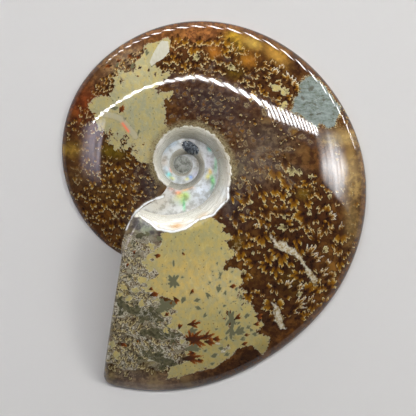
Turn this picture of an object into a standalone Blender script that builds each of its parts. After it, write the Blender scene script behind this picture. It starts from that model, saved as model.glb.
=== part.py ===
"""Ammonite fossil half: a polished planispiral shell, sawn along its median plane and lying on the saw cut.

Metres, +Z up. The origin is the centre of the coil on the saw cut, +Z points out of the convex side and +Y is
the long way of the outline. The shell and its filling are one stone, so the part is one solid.

Every point of the convex side is named by a growth angle t, in degrees, and a distance from the centre of the
coil. t runs clockwise: 0 to 360 is the last whorl, from where its keel passes under the mouth to the mouth
itself, and negative t is the earlier whorls that show in the eye. The surface is a ribbon wound along t. Its
rows run from the seam, up the wall round the eye, over the shoulder and down the flank to the keel.
"""

import math

import bmesh
import bpy

MM = 0.001

# --- driving dimensions, in millimetres and degrees ---------------------------------------------------------
MOUTH_ANGLE = 237.3      # direction, from the centre of the coil, of the notch between the mouth and the keel
# growth angle and radius of the keel, of the shoulder round the eye and of the seam at the foot of its wall
KEEL = ((0, 43.9), (30, 46.0), (60, 48.8), (90, 51.9), (120, 54.6), (150, 58.3), (180, 62.4), (210, 67.7),
        (240, 74.3), (270, 79.9), (300, 84.9), (330, 91.7), (360, 95.6))
KEEL_GROWTH = 2.18       # growth of the keel's radius in one turn
SHOULDER = ((-600, 3.5), (-480, 4.2), (-390, 4.8), (-300, 5.2), (-210, 6.6), (-120, 9.1), (-30, 10.2), (60, 11.4),
            (150, 14.9), (240, 19.2), (285, 23.2), (330, 27.6), (375, 28.2))
SEAM = ((-600, 3.5), (-240, 3.5), (-210, 3.9), (-165, 5.6), (-120, 6.9), (-30, 8.0), (60, 8.8), (150, 10.6),
        (240, 14.7), (285, 17.3), (330, 20.2), (360, 24.2), (375, 27.0))
FIRST_TURN = -600.0      # where the ribbon starts, round the core of the eye
CORE_HEIGHT, CORE_DOME = 2.6, 0.9        # floor of the eye over the cut, and the rise of its core
HALF_THICKNESS = 0.212   # height of the shoulder over the cut, as a share of the keel's radius
FLANK_POWER, FLANK_ROUND = 1.9, 0.55     # the flank's section is (1 - q ** power) ** round
WALL_POWER, WALL_ROUND = 2.2, 0.85       # the wall's section, likewise, from the seam to the shoulder
MOUTH_CORNER = (-32.4, -87.5)    # far end of the mouth's straight line
MOUTH_LEAN = 10.3        # how far the mouth leans over the earlier whorl, in degrees
MOUTH_LEAN_RADIUS = 28.2     # radius at which the lean is complete
MOUTH_EDGE, MOUTH_NOSE = 2.2, 5.0        # rounding of the mouth's edge: along the straight, and at the eye
CORNER_ROUND = 4.0       # rounding of the plan between the mouth and the keel
CUT_CHAMFER = 0.35       # broken edge round the saw cut

# --- fineness of the faceted solid ----------------------------------------------------------------------------
EVEN_COLUMNS = 70
MOUTH_OFFSETS = (5.2, 3.6, 2.4, 1.5, 0.9, 0.5, 0.25, 0.1)   # extra columns before the mouth, in degrees
WALL_ROWS, NEAR_ROWS, FAR_ROWS = 5, 4, 11    # seam to shoulder, shoulder to mid flank, mid flank to keel


def smooth(x):
    x = min(1.0, max(0.0, x))
    return x * x * (3 - 2 * x)


def along(table, t):
    """Value at t of a smooth curve through a table of (t, value) pairs."""
    i = 0
    while i < len(table) - 2 and t >= table[i + 1][0]:
        i += 1
    (t0, a), (t1, b) = table[i], table[i + 1]
    before = table[max(0, i - 1)]
    after = table[min(len(table) - 1, i + 2)]
    h = t1 - t0
    slope_a = (b - before[1]) / (t1 - before[0]) * h
    slope_b = (after[1] - a) / (after[0] - t0) * h
    f = (t - t0) / h
    return (a * (1 + 2 * f) + slope_a * f) * (1 - f) ** 2 + (b * (3 - 2 * f) - slope_b * (1 - f)) * f * f


def keel_radius(t):
    turns = math.floor(t / 360.0) if t < 360.0 else 0
    return along(KEEL, t - 360.0 * turns) * KEEL_GROWTH ** turns


def shoulder_height(t):
    """Height of whorl t over the cut at its shoulder. The earliest whorls run out into the core of the eye."""
    started = smooth((t - FIRST_TURN) / 200.0)
    return math.hypot(CORE_HEIGHT, HALF_THICKNESS * keel_radius(t) * started)


def flank_height(t, r):
    shoulder, keel = along(SHOULDER, t), keel_radius(t)
    q = min(1.0, max(0.0, (r - shoulder) / (keel - shoulder)))
    return shoulder_height(t) * (1.0 - q ** FLANK_POWER) ** FLANK_ROUND


def wall_height(t, r):
    """Height on the wall of whorl t, which stands on the flank of the whorl one turn earlier."""
    seam, shoulder, top = along(SEAM, t), along(SHOULDER, t), shoulder_height(t)
    floor = flank_height(t - 360.0, seam) if t - 360.0 > FIRST_TURN else CORE_HEIGHT
    s = min(1.0, max(0.0, (r - seam) / max(1e-6, shoulder - seam)))
    return floor + (top - floor) * (1.0 - (1.0 - s) ** WALL_POWER) ** WALL_ROUND


def mouth_lean(r):
    """Growth angle, beyond 360, of the mouth at radius r: positive over the earlier whorl, negative outside it."""
    notch = KEEL[0][1]
    if r >= notch:
        nx, ny = polar(notch, 0.0)
        cx, cy = MOUTH_CORNER
        far = math.hypot(cx, cy)
        f = (r - notch) / (far - notch)
        for _ in range(4):      # walk along the straight line to the radius
            x, y = nx + (cx - nx) * f, ny + (cy - ny) * f
            f += (r - math.hypot(x, y)) / (far - notch)
        return MOUTH_ANGLE - math.degrees(math.atan2(y, x)) % 360.0
    x = min(1.0, (notch - r) / (notch - MOUTH_LEAN_RADIUS))
    return MOUTH_LEAN * (1.0 - (1.0 - x) ** 1.5) * smooth((r - 12.0) / 14.0)


def polar(r, t):
    a = math.radians(MOUTH_ANGLE - t)
    return r * math.cos(a), r * math.sin(a)


def leaning(t, r):
    """The growth angle at which a column named t crosses radius r: columns near the mouth lean with it."""
    near = abs(t - 360.0 * round(t / 360.0)) / 70.0
    return t + mouth_lean(r) * (1.0 - smooth(near))


def radius_and_angle(t, pick):
    """(radius, growth angle) where the column named t crosses the line whose radius is pick(growth angle)."""
    r = pick(t)
    for _ in range(5):
        r = pick(leaning(t, r))
    return r, leaning(t, r)


def mouth_distance(t, growth, r):
    """Distance of a point in front of the mouth from the mouth's edge."""
    edge = 360.0 + mouth_lean(r)
    return max(0.0, math.radians(edge - growth)) * r * 0.985


def mid_flank(t):
    """Radius between the near and the far part of the flank. On the earlier whorls it is the later whorl's seam."""
    if t <= 0.0:
        return along(SEAM, t + 360.0)
    shoulder = along(SHOULDER, t)
    share = (along(SEAM, 360.0) - along(SHOULDER, 0.0)) / (KEEL[0][1] - along(SHOULDER, 0.0))
    return shoulder + share * (keel_radius(t) - shoulder)


def column(t):
    """The points of one column, from the seam outwards. Columns of the earlier whorls stop at the later seam."""
    seam, _ = radius_and_angle(t, lambda g: along(SEAM, g))
    shoulder, _ = radius_and_angle(t, lambda g: along(SHOULDER, g))
    mid, _ = radius_and_angle(t, mid_flank)
    if t <= 0.0:        # weld the outer side of the ribbon to its own inner side, one turn later
        mid, _ = radius_and_angle(t + 360.0, lambda g: along(SEAM, g))
    radii = [seam + (shoulder - seam) * smooth(j / WALL_ROWS * 0.5) * 2 for j in range(WALL_ROWS)]
    radii += [shoulder + (mid - shoulder) * j / NEAR_ROWS for j in range(NEAR_ROWS)]
    points = []
    last_whorl = t >= 0.0
    if last_whorl:
        keel, growth = radius_and_angle(t, keel_radius)
        if t > 300.0:   # round the corner between the mouth and the keel
            d = mouth_distance(t, growth, keel)
            if d < CORNER_ROUND:
                keel -= CORNER_ROUND - math.sqrt(CORNER_ROUND ** 2 - (CORNER_ROUND - d) ** 2)
        radii += [mid + (keel - mid) * (1.0 - (1.0 - j / FAR_ROWS) ** 1.9) for j in range(FAR_ROWS)]
    else:
        radii.append(mid)
    true_keel = keel_radius(leaning(t, keel)) if last_whorl else 1.0
    for j, r in enumerate(radii):
        growth = leaning(t, r)
        if j < WALL_ROWS:
            z = wall_height(growth, r)
        else:
            z = flank_height(growth, r * true_keel / keel if last_whorl and r > mid else r)
        if t > 300.0:
            rounding = MOUTH_EDGE + (MOUTH_NOSE - MOUTH_EDGE) * smooth((45.0 - r) / 14.0)
            d = mouth_distance(t, growth, r)
            if d < rounding:
                z -= rounding - math.sqrt(rounding ** 2 - (rounding - d) ** 2)
            floor = flank_height(growth - 360.0, r) + 0.05 * min(1.0, j) if r < KEEL[0][1] else 2.0 * CUT_CHAMFER
            z = max(z, floor)
        x, y = polar(r, growth)
        points.append((x, y, z))
    if last_whorl:
        growth = leaning(t, keel)
        points.append((*polar(keel, growth), CUT_CHAMFER))
        points.append((*polar(keel - CUT_CHAMFER, growth), 0.0))
    return points


def column_names():
    """Growth angles of the columns of one turn, from just after 0 to 360, closer together before the mouth."""
    first = MOUTH_OFFSETS[0]
    names = [(360.0 - first) * (i + 1) / EVEN_COLUMNS for i in range(EVEN_COLUMNS)]
    return names[:-1] + [360.0 - offset for offset in MOUTH_OFFSETS] + [360.0]


def build():
    for thing in list(bpy.data.objects):
        bpy.data.objects.remove(thing, do_unlink=True)

    bm = bmesh.new()

    def point(x, y, z):
        return bm.verts.new((x * MM, y * MM, z * MM))

    one_turn = column_names()
    names = [t - 360.0 * turn for turn in (2, 1, 0) for t in one_turn]
    names = [t for t in names if t > FIRST_TURN + 0.5]
    per_turn = len(one_turn)
    inner_rows = WALL_ROWS + NEAR_ROWS

    # the ribbon starts at a point of the core's edge and widens
    start_r = along(SEAM, FIRST_TURN)
    start = point(*polar(start_r, FIRST_TURN), CORE_HEIGHT)
    ribbon = [[start] * (inner_rows + 1)]
    for k, t in enumerate(names):
        points = column(t)
        one_turn_ago = k + 1 - per_turn
        foot_of_wall = ribbon[one_turn_ago][inner_rows] if one_turn_ago >= 0 else point(*points[0])
        ribbon.append([foot_of_wall] + [point(*p) for p in points[1:]])

    def quad(a, b, c, d):
        corners = []
        for v in (a, b, c, d):
            if v not in corners:
                corners.append(v)
        if len(corners) > 2:
            bm.faces.new(corners)

    for k in range(len(ribbon) - 1):
        a, b = ribbon[k], ribbon[k + 1]
        for j in range(min(len(a), len(b)) - 1):
            quad(a[j], a[j + 1], b[j + 1], b[j])

    # the core of the eye
    rim = [ribbon[k][0] for k in range(per_turn)]
    rim = [v for i, v in enumerate(rim) if v not in rim[:i]]
    inner_ring = [point(v.co.x / MM * 0.55, v.co.y / MM * 0.55, CORE_HEIGHT + 0.8 * CORE_DOME) for v in rim]
    centre = point(0.0, 0.0, CORE_HEIGHT + CORE_DOME)
    for i in range(len(rim)):
        n = (i + 1) % len(rim)
        quad(rim[i], rim[n], inner_ring[n], inner_ring[i])
        quad(centre, inner_ring[i], inner_ring[n], inner_ring[n])

    # the mouth: from the ribbon's last column down to the earlier whorl, and outside that to the cut
    last = ribbon[-1]
    first = ribbon[len(ribbon) - 1 - per_turn]       # the column at t = 0
    foot = first[inner_rows:]
    end = last[-1]
    spare = len(last) - len(foot) - 1
    nx, ny = foot[-1].co.x / MM, foot[-1].co.y / MM
    ex, ey = end.co.x / MM, end.co.y / MM
    for i in range(1, spare + 1):
        f = i / (spare + 1)
        foot.append(point(nx + (ex - nx) * f, ny + (ey - ny) * f, 0.0))
    foot.append(end)
    for j in range(len(last) - 1):
        quad(last[j], last[j + 1], foot[j + 1], foot[j])

    # the saw cut
    start_of_last = len(ribbon) - 1 - per_turn
    edge = [rows[-1] for rows in ribbon[start_of_last:]]
    line = foot[len(first) - inner_rows:-1]
    bm.faces.new(edge + line[::-1])
    bmesh.ops.recalc_face_normals(bm, faces=bm.faces[:])
    bmesh.ops.triangulate(bm, faces=bm.faces[:])
    if bm.calc_volume(signed=True) < 0:
        bmesh.ops.reverse_faces(bm, faces=bm.faces[:])

    mesh = bpy.data.meshes.new("ammonite")
    bm.to_mesh(mesh)
    bm.free()
    mesh.shade_smooth()
    mesh.set_sharp_from_angle(angle=math.radians(45))
    shell = bpy.data.objects.new("ammonite", mesh)
    bpy.context.scene.collection.objects.link(shell)

    stone = bpy.data.materials.new("polished_ammonite")
    stone.use_nodes = True
    bsdf = stone.node_tree.nodes["Principled BSDF"]
    bsdf.inputs["Base Color"].default_value = (0.20, 0.085, 0.025, 1.0)
    bsdf.inputs["Roughness"].default_value = 0.12
    bsdf.inputs["Metallic"].default_value = 0.0
    mesh.materials.append(stone)


build()
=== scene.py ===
import math
import random

import bpy
import numpy as np
from mathutils import Matrix, Vector


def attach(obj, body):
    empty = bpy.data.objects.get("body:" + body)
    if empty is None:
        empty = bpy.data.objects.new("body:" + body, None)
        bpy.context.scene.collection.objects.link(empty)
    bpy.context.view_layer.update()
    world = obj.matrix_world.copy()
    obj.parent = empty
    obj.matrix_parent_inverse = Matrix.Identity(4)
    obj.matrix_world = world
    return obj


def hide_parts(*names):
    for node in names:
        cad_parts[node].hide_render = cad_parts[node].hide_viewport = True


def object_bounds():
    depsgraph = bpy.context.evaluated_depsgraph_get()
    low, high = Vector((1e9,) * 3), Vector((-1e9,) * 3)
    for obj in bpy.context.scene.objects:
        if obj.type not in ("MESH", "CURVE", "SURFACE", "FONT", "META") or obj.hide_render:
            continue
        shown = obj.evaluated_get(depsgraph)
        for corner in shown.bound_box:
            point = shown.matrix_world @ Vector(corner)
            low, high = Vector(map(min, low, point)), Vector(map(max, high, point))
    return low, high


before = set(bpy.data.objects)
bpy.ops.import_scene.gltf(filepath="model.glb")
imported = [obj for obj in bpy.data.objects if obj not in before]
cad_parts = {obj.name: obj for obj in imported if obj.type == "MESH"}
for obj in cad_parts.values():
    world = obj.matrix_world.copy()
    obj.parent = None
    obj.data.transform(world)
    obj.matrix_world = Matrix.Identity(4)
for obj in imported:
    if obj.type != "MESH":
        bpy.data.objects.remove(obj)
CAD_BOX = [list(map(float, corner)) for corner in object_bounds()]

MM = 0.001

# --- the shape of the shell: the same driving dimensions as the solid, in millimetres and degrees -------------
MOUTH_ANGLE = 237.3
KEEL = ((0, 43.9), (30, 46.0), (60, 48.8), (90, 51.9), (120, 54.6), (150, 58.3), (180, 62.4), (210, 67.7),
        (240, 74.3), (270, 79.9), (300, 84.9), (330, 91.7), (360, 95.6))
KEEL_GROWTH = 2.18
SHOULDER = ((-600, 3.5), (-480, 4.2), (-390, 4.8), (-300, 5.2), (-210, 6.6), (-120, 9.1), (-30, 10.2), (60, 11.4),
            (150, 14.9), (240, 19.2), (285, 23.2), (330, 27.6), (375, 28.2))
SEAM = ((-600, 3.5), (-240, 3.5), (-210, 3.9), (-165, 5.6), (-120, 6.9), (-30, 8.0), (60, 8.8), (150, 10.6),
        (240, 14.7), (285, 17.3), (330, 20.2), (360, 24.2), (375, 27.0))
FIRST_TURN = -600.0
CORE_HEIGHT, CORE_DOME = 2.6, 0.9
HALF_THICKNESS = 0.212
FLANK_POWER, FLANK_ROUND = 1.9, 0.55
WALL_POWER, WALL_ROUND = 2.2, 0.85
MOUTH_CORNER = (-32.4, -87.5)
MOUTH_LEAN = 10.3
MOUTH_LEAN_RADIUS = 28.2
MOUTH_EDGE, MOUTH_NOSE = 2.2, 5.0
CORNER_ROUND = 4.0
CUT_CHAMFER = 0.35

# fineness: columns round one turn, of which the last ones crowd up to the mouth, and rows across the ribbon
EVEN_COLUMNS, MOUTH_COLUMNS = 840, 24
SPARSE = 4               # the eye and the earlier whorls use every fourth column
WALL_ROWS, NEAR_ROWS, FAR_ROWS = 14, 36, 79
HALF_FROM, FULL_FROM = 24, 50      # rows from which every second column is used, and every column
FACE_ROWS = 10


def smooth(x):
    x = np.clip(x, 0.0, 1.0)
    return x * x * (3 - 2 * x)


def along(table, t):
    knots = np.array([p[0] for p in table], float)
    values = np.array([p[1] for p in table], float)
    slope = np.empty_like(values)
    slope[1:-1] = (values[2:] - values[:-2]) / (knots[2:] - knots[:-2])
    slope[0] = (values[1] - values[0]) / (knots[1] - knots[0])
    slope[-1] = (values[-1] - values[-2]) / (knots[-1] - knots[-2])
    t = np.asarray(t, float)
    i = np.clip(np.searchsorted(knots, t, side="right") - 1, 0, len(knots) - 2)
    h = knots[i + 1] - knots[i]
    f = (t - knots[i]) / h
    a, b, ma, mb = values[i], values[i + 1], slope[i] * h, slope[i + 1] * h
    return (a * (1 + 2 * f) + ma * f) * (1 - f) ** 2 + (b * (3 - 2 * f) - mb * (1 - f)) * f * f


def keel_radius(t):
    t = np.asarray(t, float)
    turns = np.where(t < 360.0, np.floor(t / 360.0), 0.0)
    return along(KEEL, t - 360.0 * turns) * KEEL_GROWTH ** turns


def shoulder_height(t):
    return np.hypot(CORE_HEIGHT, HALF_THICKNESS * keel_radius(t) * smooth((np.asarray(t) - FIRST_TURN) / 200.0))


def flank_height(t, r):
    shoulder, keel = along(SHOULDER, t), keel_radius(t)
    q = np.clip((r - shoulder) / (keel - shoulder), 0.0, 1.0)
    return shoulder_height(t) * (1.0 - q ** FLANK_POWER) ** FLANK_ROUND


def wall_height(t, r):
    seam, shoulder, top = along(SEAM, t), along(SHOULDER, t), shoulder_height(t)
    floor = np.where(t - 360.0 > FIRST_TURN, flank_height(t - 360.0, seam), CORE_HEIGHT)
    s = np.clip((r - seam) / np.maximum(1e-6, shoulder - seam), 0.0, 1.0)
    return floor + (top - floor) * (1.0 - (1.0 - s) ** WALL_POWER) ** WALL_ROUND


def polar(r, t):
    a = np.radians(MOUTH_ANGLE - t)
    return r * np.cos(a), r * np.sin(a)


def mouth_lean(r):
    r = np.asarray(r, float)
    notch = KEEL[0][1]
    nx, ny = polar(notch, 0.0)
    cx, cy = MOUTH_CORNER
    far = math.hypot(cx, cy)
    f = (r - notch) / (far - notch)
    for _ in range(5):
        x, y = nx + (cx - nx) * f, ny + (cy - ny) * f
        f = f + (r - np.hypot(x, y)) / (far - notch)
    outside = MOUTH_ANGLE - np.degrees(np.arctan2(y, x)) % 360.0
    x = np.clip((notch - r) / (notch - MOUTH_LEAN_RADIUS), 0.0, 1.0)
    inside = MOUTH_LEAN * (1.0 - (1.0 - x) ** 1.5) * smooth((r - 12.0) / 14.0)
    return np.where(r >= notch, outside, inside)


def leaning(t, r):
    return t + mouth_lean(r) * (1.0 - smooth(np.abs(t - 360.0 * np.round(t / 360.0)) / 70.0))


def crossing(t, pick):
    r = pick(t)
    for _ in range(6):
        r = pick(leaning(t, r))
    return r


def mouth_distance(growth, r):
    return np.maximum(0.0, np.radians(360.0 + mouth_lean(r) - growth)) * r * 0.985


def mid_flank(t):
    shoulder = along(SHOULDER, t)
    share = (along(SEAM, 360.0) - along(SHOULDER, 0.0)) / (KEEL[0][1] - along(SHOULDER, 0.0))
    return np.where(t <= 0.0, along(SEAM, np.minimum(t + 360.0, 375.0)), shoulder + share * (keel_radius(t) - shoulder))


def far_shares():
    """Shares of the way from mid flank to keel that are evenly spaced over the rounded surface, wider on the side."""
    t = 200.0
    share = np.linspace(0.0, 1.0, 4001)
    mid, keel = float(mid_flank(t)), float(keel_radius(t))
    r = mid + (keel - mid) * share
    z = flank_height(t, r)
    walked = np.concatenate([[0.0], np.cumsum(np.hypot(np.diff(r), 0.6 * np.diff(z)))])
    return np.interp(np.arange(FAR_ROWS) / FAR_ROWS, walked / walked[-1], share)


def ribbon_rows(t, last_whorl):
    """Radii, growth angles and heights of all the points of the columns named t: arrays of (columns, rows)."""
    seam = crossing(t, lambda g: along(SEAM, g))
    shoulder = crossing(t, lambda g: along(SHOULDER, g))
    if last_whorl:
        mid = crossing(t, mid_flank)
        start = crossing(t + 360.0, lambda g: along(SEAM, g))
        mid = np.where(t <= 0.0, start, mid)
    else:
        mid = crossing(t + 360.0, lambda g: along(SEAM, g))
    j = np.arange(WALL_ROWS) / WALL_ROWS
    radii = [seam[:, None] + (shoulder - seam)[:, None] * (1.0 - (1.0 - j) ** 1.25)[None, :]]
    j = np.arange(NEAR_ROWS) / NEAR_ROWS
    radii.append(shoulder[:, None] + (mid - shoulder)[:, None] * j[None, :])
    if last_whorl:
        keel = crossing(t, keel_radius)
        growth = leaning(t, keel)
        full = keel_radius(growth)
        d = mouth_distance(growth, keel)
        near = np.clip(d, 0.0, CORNER_ROUND)
        cut = np.where(t > 300.0, CORNER_ROUND - np.sqrt(CORNER_ROUND ** 2 - (CORNER_ROUND - near) ** 2), 0.0)
        keel = keel - cut
        radii.append(mid[:, None] + (keel - mid)[:, None] * far_shares()[None, :])
    else:
        radii.append(mid[:, None])
    r = np.concatenate(radii, axis=1)
    tt = np.repeat(t[:, None], r.shape[1], axis=1)
    growth = leaning(tt, r)
    on_wall = np.arange(r.shape[1])[None, :] < WALL_ROWS
    stretch = np.where(r > mid[:, None], (full / keel)[:, None], 1.0) if last_whorl else 1.0
    z = np.where(on_wall, wall_height(growth, r), flank_height(growth, r * stretch))
    if last_whorl:
        rounding = MOUTH_EDGE + (MOUTH_NOSE - MOUTH_EDGE) * smooth((45.0 - r) / 14.0)
        d = np.minimum(mouth_distance(growth, r), rounding)
        drop = rounding - np.sqrt(np.maximum(0.0, rounding ** 2 - (rounding - d) ** 2))
        z = np.where(tt > 300.0, z - drop, z)
        floor = np.where(r < KEEL[0][1], flank_height(growth - 360.0, r) + 0.05, 2.0 * CUT_CHAMFER)
        z = np.where(tt > 300.0, np.maximum(z, floor), z)
        edge_growth = leaning(t, keel)
        r = np.concatenate([r, keel[:, None], keel[:, None] - CUT_CHAMFER], axis=1)
        growth = np.concatenate([growth, edge_growth[:, None], edge_growth[:, None]], axis=1)
        z = np.concatenate([z, np.full((len(t), 1), CUT_CHAMFER), np.zeros((len(t), 1))], axis=1)
    return r, growth, z
# --- the mesh ---------------------------------------------------------------------------------------------------
def column_names():
    """Growth angles of the columns, an equal step apart along the keel, crowding up to the mouth."""
    last = 360.0 - 5.2
    widen = KEEL_GROWTH ** (last / 360.0) - 1.0
    even = 360.0 * np.log1p(widen * (np.arange(EVEN_COLUMNS) + 1) / EVEN_COLUMNS) / math.log(KEEL_GROWTH)
    crowded = 360.0 - 5.2 * (1.0 - (np.arange(MOUTH_COLUMNS) + 1) / MOUTH_COLUMNS) ** 2.0
    return np.concatenate([[0.0], even, crowded])


def shell_mesh():
    """Returns points (n, 3) in millimetres, faces, the kind of each face (0 the polished outside, 1 the mouth, 2 the
    saw cut), and per point: growth (radians), span (profile length / radius)."""
    names = column_names()
    inner_rows = WALL_ROWS + NEAR_ROWS
    r, growth, z = ribbon_rows(names, True)
    columns, rows = r.shape
    x, y = polar(r, growth)
    main_points = np.stack([x, y, z], axis=2)
    steps = np.linalg.norm(np.diff(main_points, axis=1), axis=2) / np.maximum(r[:, 1:], 3.0)
    span = np.concatenate([np.zeros((columns, 1)), np.cumsum(steps, axis=1)], axis=1)
    span -= span[:, WALL_ROWS][:, None]

    sparse = names[::SPARSE]
    inner_names = np.concatenate([sparse[:-1] - 720.0, sparse[:-1] - 360.0])
    inner_names = inner_names[inner_names > FIRST_TURN + 0.2]
    ri, gi, zi = ribbon_rows(inner_names, False)
    xi, yi = polar(ri, gi)
    inner_points = np.stack([xi, yi, zi], axis=2)
    steps = np.linalg.norm(np.diff(inner_points, axis=1), axis=2) / np.maximum(ri[:, 1:], 1.5)
    inner_span = np.concatenate([np.zeros((len(ri), 1)), np.cumsum(steps, axis=1)], axis=1)
    inner_span -= inner_span[:, WALL_ROWS][:, None]

    points = list(main_points.reshape(-1, 3))
    growths = list(np.radians(growth).reshape(-1))
    spans = list(span.reshape(-1))
    main = np.arange(columns * rows).reshape(columns, rows)
    main[-1, 0] = main[0, inner_rows]

    def add(p, g, s):
        points.append(p)
        growths.append(g)
        spans.append(s)
        return len(points) - 1

    # the earlier whorls keep every second row of the wall and every fourth of the flank
    kept = list(range(0, WALL_ROWS, 2)) + list(range(WALL_ROWS, inner_rows, 4)) + [inner_rows]
    count = len(inner_names)
    turn = len(sparse) - 1
    inner = np.full((count + 1, len(kept)), -1)
    for k in range(count):
        for n, j in enumerate(kept[:-1]):
            inner[k, n] = add(inner_points[k, j], math.radians(gi[k, j]), inner_span[k, j])
    inner[count] = main[0, kept]
    for k in range(count):
        later = k + turn
        inner[k, -1] = inner[later, 0] if later < count else main[(later - count) * SPARSE, 0]
    start = inner[turn - 1, 0]
    faces, kinds = [], []
    kind = 0

    def face(*corners):
        loop = []
        for c in corners:
            if not loop or c != loop[-1]:
                loop.append(int(c))
        while len(loop) > 1 and loop[0] == loop[-1]:
            loop.pop()
        if len(loop) > 2:
            faces.append(tuple(loop))
            kinds.append(kind)

    stride = [4 if j < HALF_FROM else 2 if j < FULL_FROM else 1 for j in range(rows)]
    for j in range(rows - 1):
        a, b = stride[j], stride[j + 1]
        for i in range(0, columns - 1, a):
            face(main[i, j], *[main[i + m, j + 1] for m in range(0, a + 1, b)], main[i + a, j])
    for k in range(count + 1):
        a = inner[k - 1] if k > 0 else np.full(len(kept), start)
        b = inner[k]
        for n in range(len(kept) - 1):
            if k == count:
                face(a[n], a[n + 1], *[main[0, m] for m in range(kept[n + 1], kept[n] - 1, -1)])
            else:
                face(a[n], a[n + 1], b[n + 1], b[n])

    # the core of the eye: rings inside the start of the ribbon
    ring = [inner[k, 0] for k in range(turn)]
    for share, rise in ((0.8, 0.45), (0.55, 0.75), (0.28, 0.95)):
        nxt = []
        for v in ring:
            p = points[inner[len(nxt), 0]]
            nxt.append(add(np.array([p[0] * share, p[1] * share, CORE_HEIGHT + CORE_DOME * rise]), growths[v], spans[v]))
        for i in range(turn):
            n = (i + 1) % turn
            face(ring[i], ring[n], nxt[n], nxt[i])
        ring = nxt
    centre = add(np.array([0.0, 0.0, CORE_HEIGHT + CORE_DOME]), -10.0, 0.0)
    for i in range(turn):
        face(ring[i], ring[(i + 1) % turn], centre)

    # the mouth's face
    kind = 1
    top = list(main[-1])
    base = list(main[0, inner_rows:])
    foot = base[::2]
    paired = len(foot)
    spare = len(top) - paired - 1
    notch, corner = points[foot[-1]], points[top[-1]]
    for i in range(1, spare + 1):
        p = notch + (corner - notch) * i / (spare + 1)
        foot.append(add(p, 2 * math.pi + 0.05, 0.5 + 0.5 * i / spare))
    foot.append(top[-1])
    mouth_line = foot[paired:-1]
    previous = top
    for m in range(1, FACE_ROWS + 1):
        if m < FACE_ROWS:
            f = m / FACE_ROWS
            current = [top[0]]
            for j in range(1, rows - 1):
                p = points[top[j]] * (1 - f) + points[foot[j]] * f
                depth = (points[top[j]][2] - p[2]) / max(20.0, math.hypot(p[0], p[1]))
                current.append(add(p, growths[top[j]] + depth, spans[top[j]]))
            current.append(top[-1])
        else:
            current = foot
        for j in range(rows - 1):
            between = [base[2 * j + 1]] if m == FACE_ROWS and j < paired - 1 else []
            face(previous[j], previous[j + 1], current[j + 1], *between, current[j])
        previous = current

    # the saw cut
    kind = 2
    edge = list(main[:, -1]) + mouth_line[::-1]
    outline = edge[::4]
    for share in (0.985, 0.9, 0.75, 0.5, 0.2):
        nxt = []
        for v in edge[::4]:
            p = points[v]
            nxt.append(add(np.array([p[0] * share, p[1] * share, 0.0]), growths[v], spans[v]))
        for i in range(len(outline)):
            n = (i + 1) % len(outline)
            if share > 0.98:
                side = edge[4 * i:4 * i + 5] if n else edge[4 * i:] + edge[:1]
                face(*side[::-1], nxt[i], nxt[n])
            else:
                face(outline[n], outline[i], nxt[i], nxt[n])
        outline = nxt
    centre = add(np.array([0.0, 0.0, 0.0]), 0.0, 0.0)
    for i in range(len(outline)):
        face(outline[(i + 1) % len(outline)], outline[i], centre)

    # only the points that the faces use
    used = np.zeros(len(points), bool)
    used[[c for f in faces for c in f]] = True
    order = np.cumsum(used) - 1
    faces = [tuple(int(order[c]) for c in f) for f in faces]
    return np.array(points)[used], faces, kinds, np.array(growths)[used], np.array(spans)[used]




# --- where the colours lie: listed patches, in millimetres on the plan -------------------------------------------
def srgb(r, g, b):
    """A colour given as 0-255 display values."""
    return tuple(((c / 255.0 + 0.055) / 1.055) ** 2.4 if c > 10 else c / 255.0 / 12.92 for c in (r, g, b))


# the two big tan patches, where the lens of shell was polished through to the pale fill
TAN_UPPER = ((-5.6, 51.3), (-5, 49.5), (-5.3, 46), (-6.9, 43.5), (-10, 41.7), (-12.6, 39.3), (-9.5, 37), (-6.9, 34.5),
             (-8.6, 32), (-10, 31), (-11.6, 29.7), (-6.9, 29.3), (-6, 27.7), (-6, 26), (-8, 25.7), (-6.7, 23.3),
             (-6.4, 19.3), (-7.2, 17), (-5.3, 14), (-4, 10), (-8, 4), (-10, 1), (-14.5, 0.5), (-16.8, 1.3), (-20, 4.2), (-19.6, 5.5), (-20.9, 8), (-33.7, 14), (-34.4, 17.7),
             (-36.8, 21.3), (-37.6, 24.3), (-36.4, 25.7), (-34.6, 27), (-30.8, 27), (-28.2, 28.5), (-27.2, 30.3),
             (-27, 32.5), (-26, 35), (-24.4, 36.2), (-20.8, 37), (-18.4, 38.5), (-17.6, 40.5), (-15.4, 44.5),
             (-15.4, 47), (-13.6, 49), (-11.2, 48.6))
TAN_LOWER = ((-7.8, -27.7), (-7.4, -32), (-9.7, -33.6), (-14, -37.3), (-12.4, -40.3), (-8.7, -42.7), (-10, -45),
             (-15, -46.6), (-12.8, -48.4), (-13.4, -50.2), (-10.4, -50.6), (-9.6, -52.6), (-7.7, -52.2), (-4.2, -52.9), (-2.2, -54.4), (-3.4, -56.6), (-1.8, -58.6), (-4.2, -60.2), (-3.2, -62.2), (-5.7, -64.3), (-1.4, -65.8),
             (2.7, -69.4), (4.4, -74.5), (2.5, -78.8), (-4.2, -81.2), (-6.5, -86.3), (-1, -84.7), (6.8, -82.7),
             (12.1, -81.6), (15.4, -79.6), (19.2, -76.5), (22.1, -73.7), (27.6, -72.1), (32.3, -76.8), (34.3, -74.1),
             (33.9, -69), (30.8, -65.8), (29.6, -60), (28.4, -57.6), (26.8, -55), (22.3, -53.7), (23, -51),
             (22.3, -47.8), (23.7, -45.8), (23, -44.2), (21, -41.7), (17.6, -41), (16.6, -38.3), (20.2, -37.1),
             (20.2, -35), (18.8, -33.2), (16.6, -30.5), (17.5, -27.7), (15, -26.1), (16.6, -24.2), (13, -22.5),
             (11.2, -20.5), (6, -22), (1.7, -24), (-3.4, -26))
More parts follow.
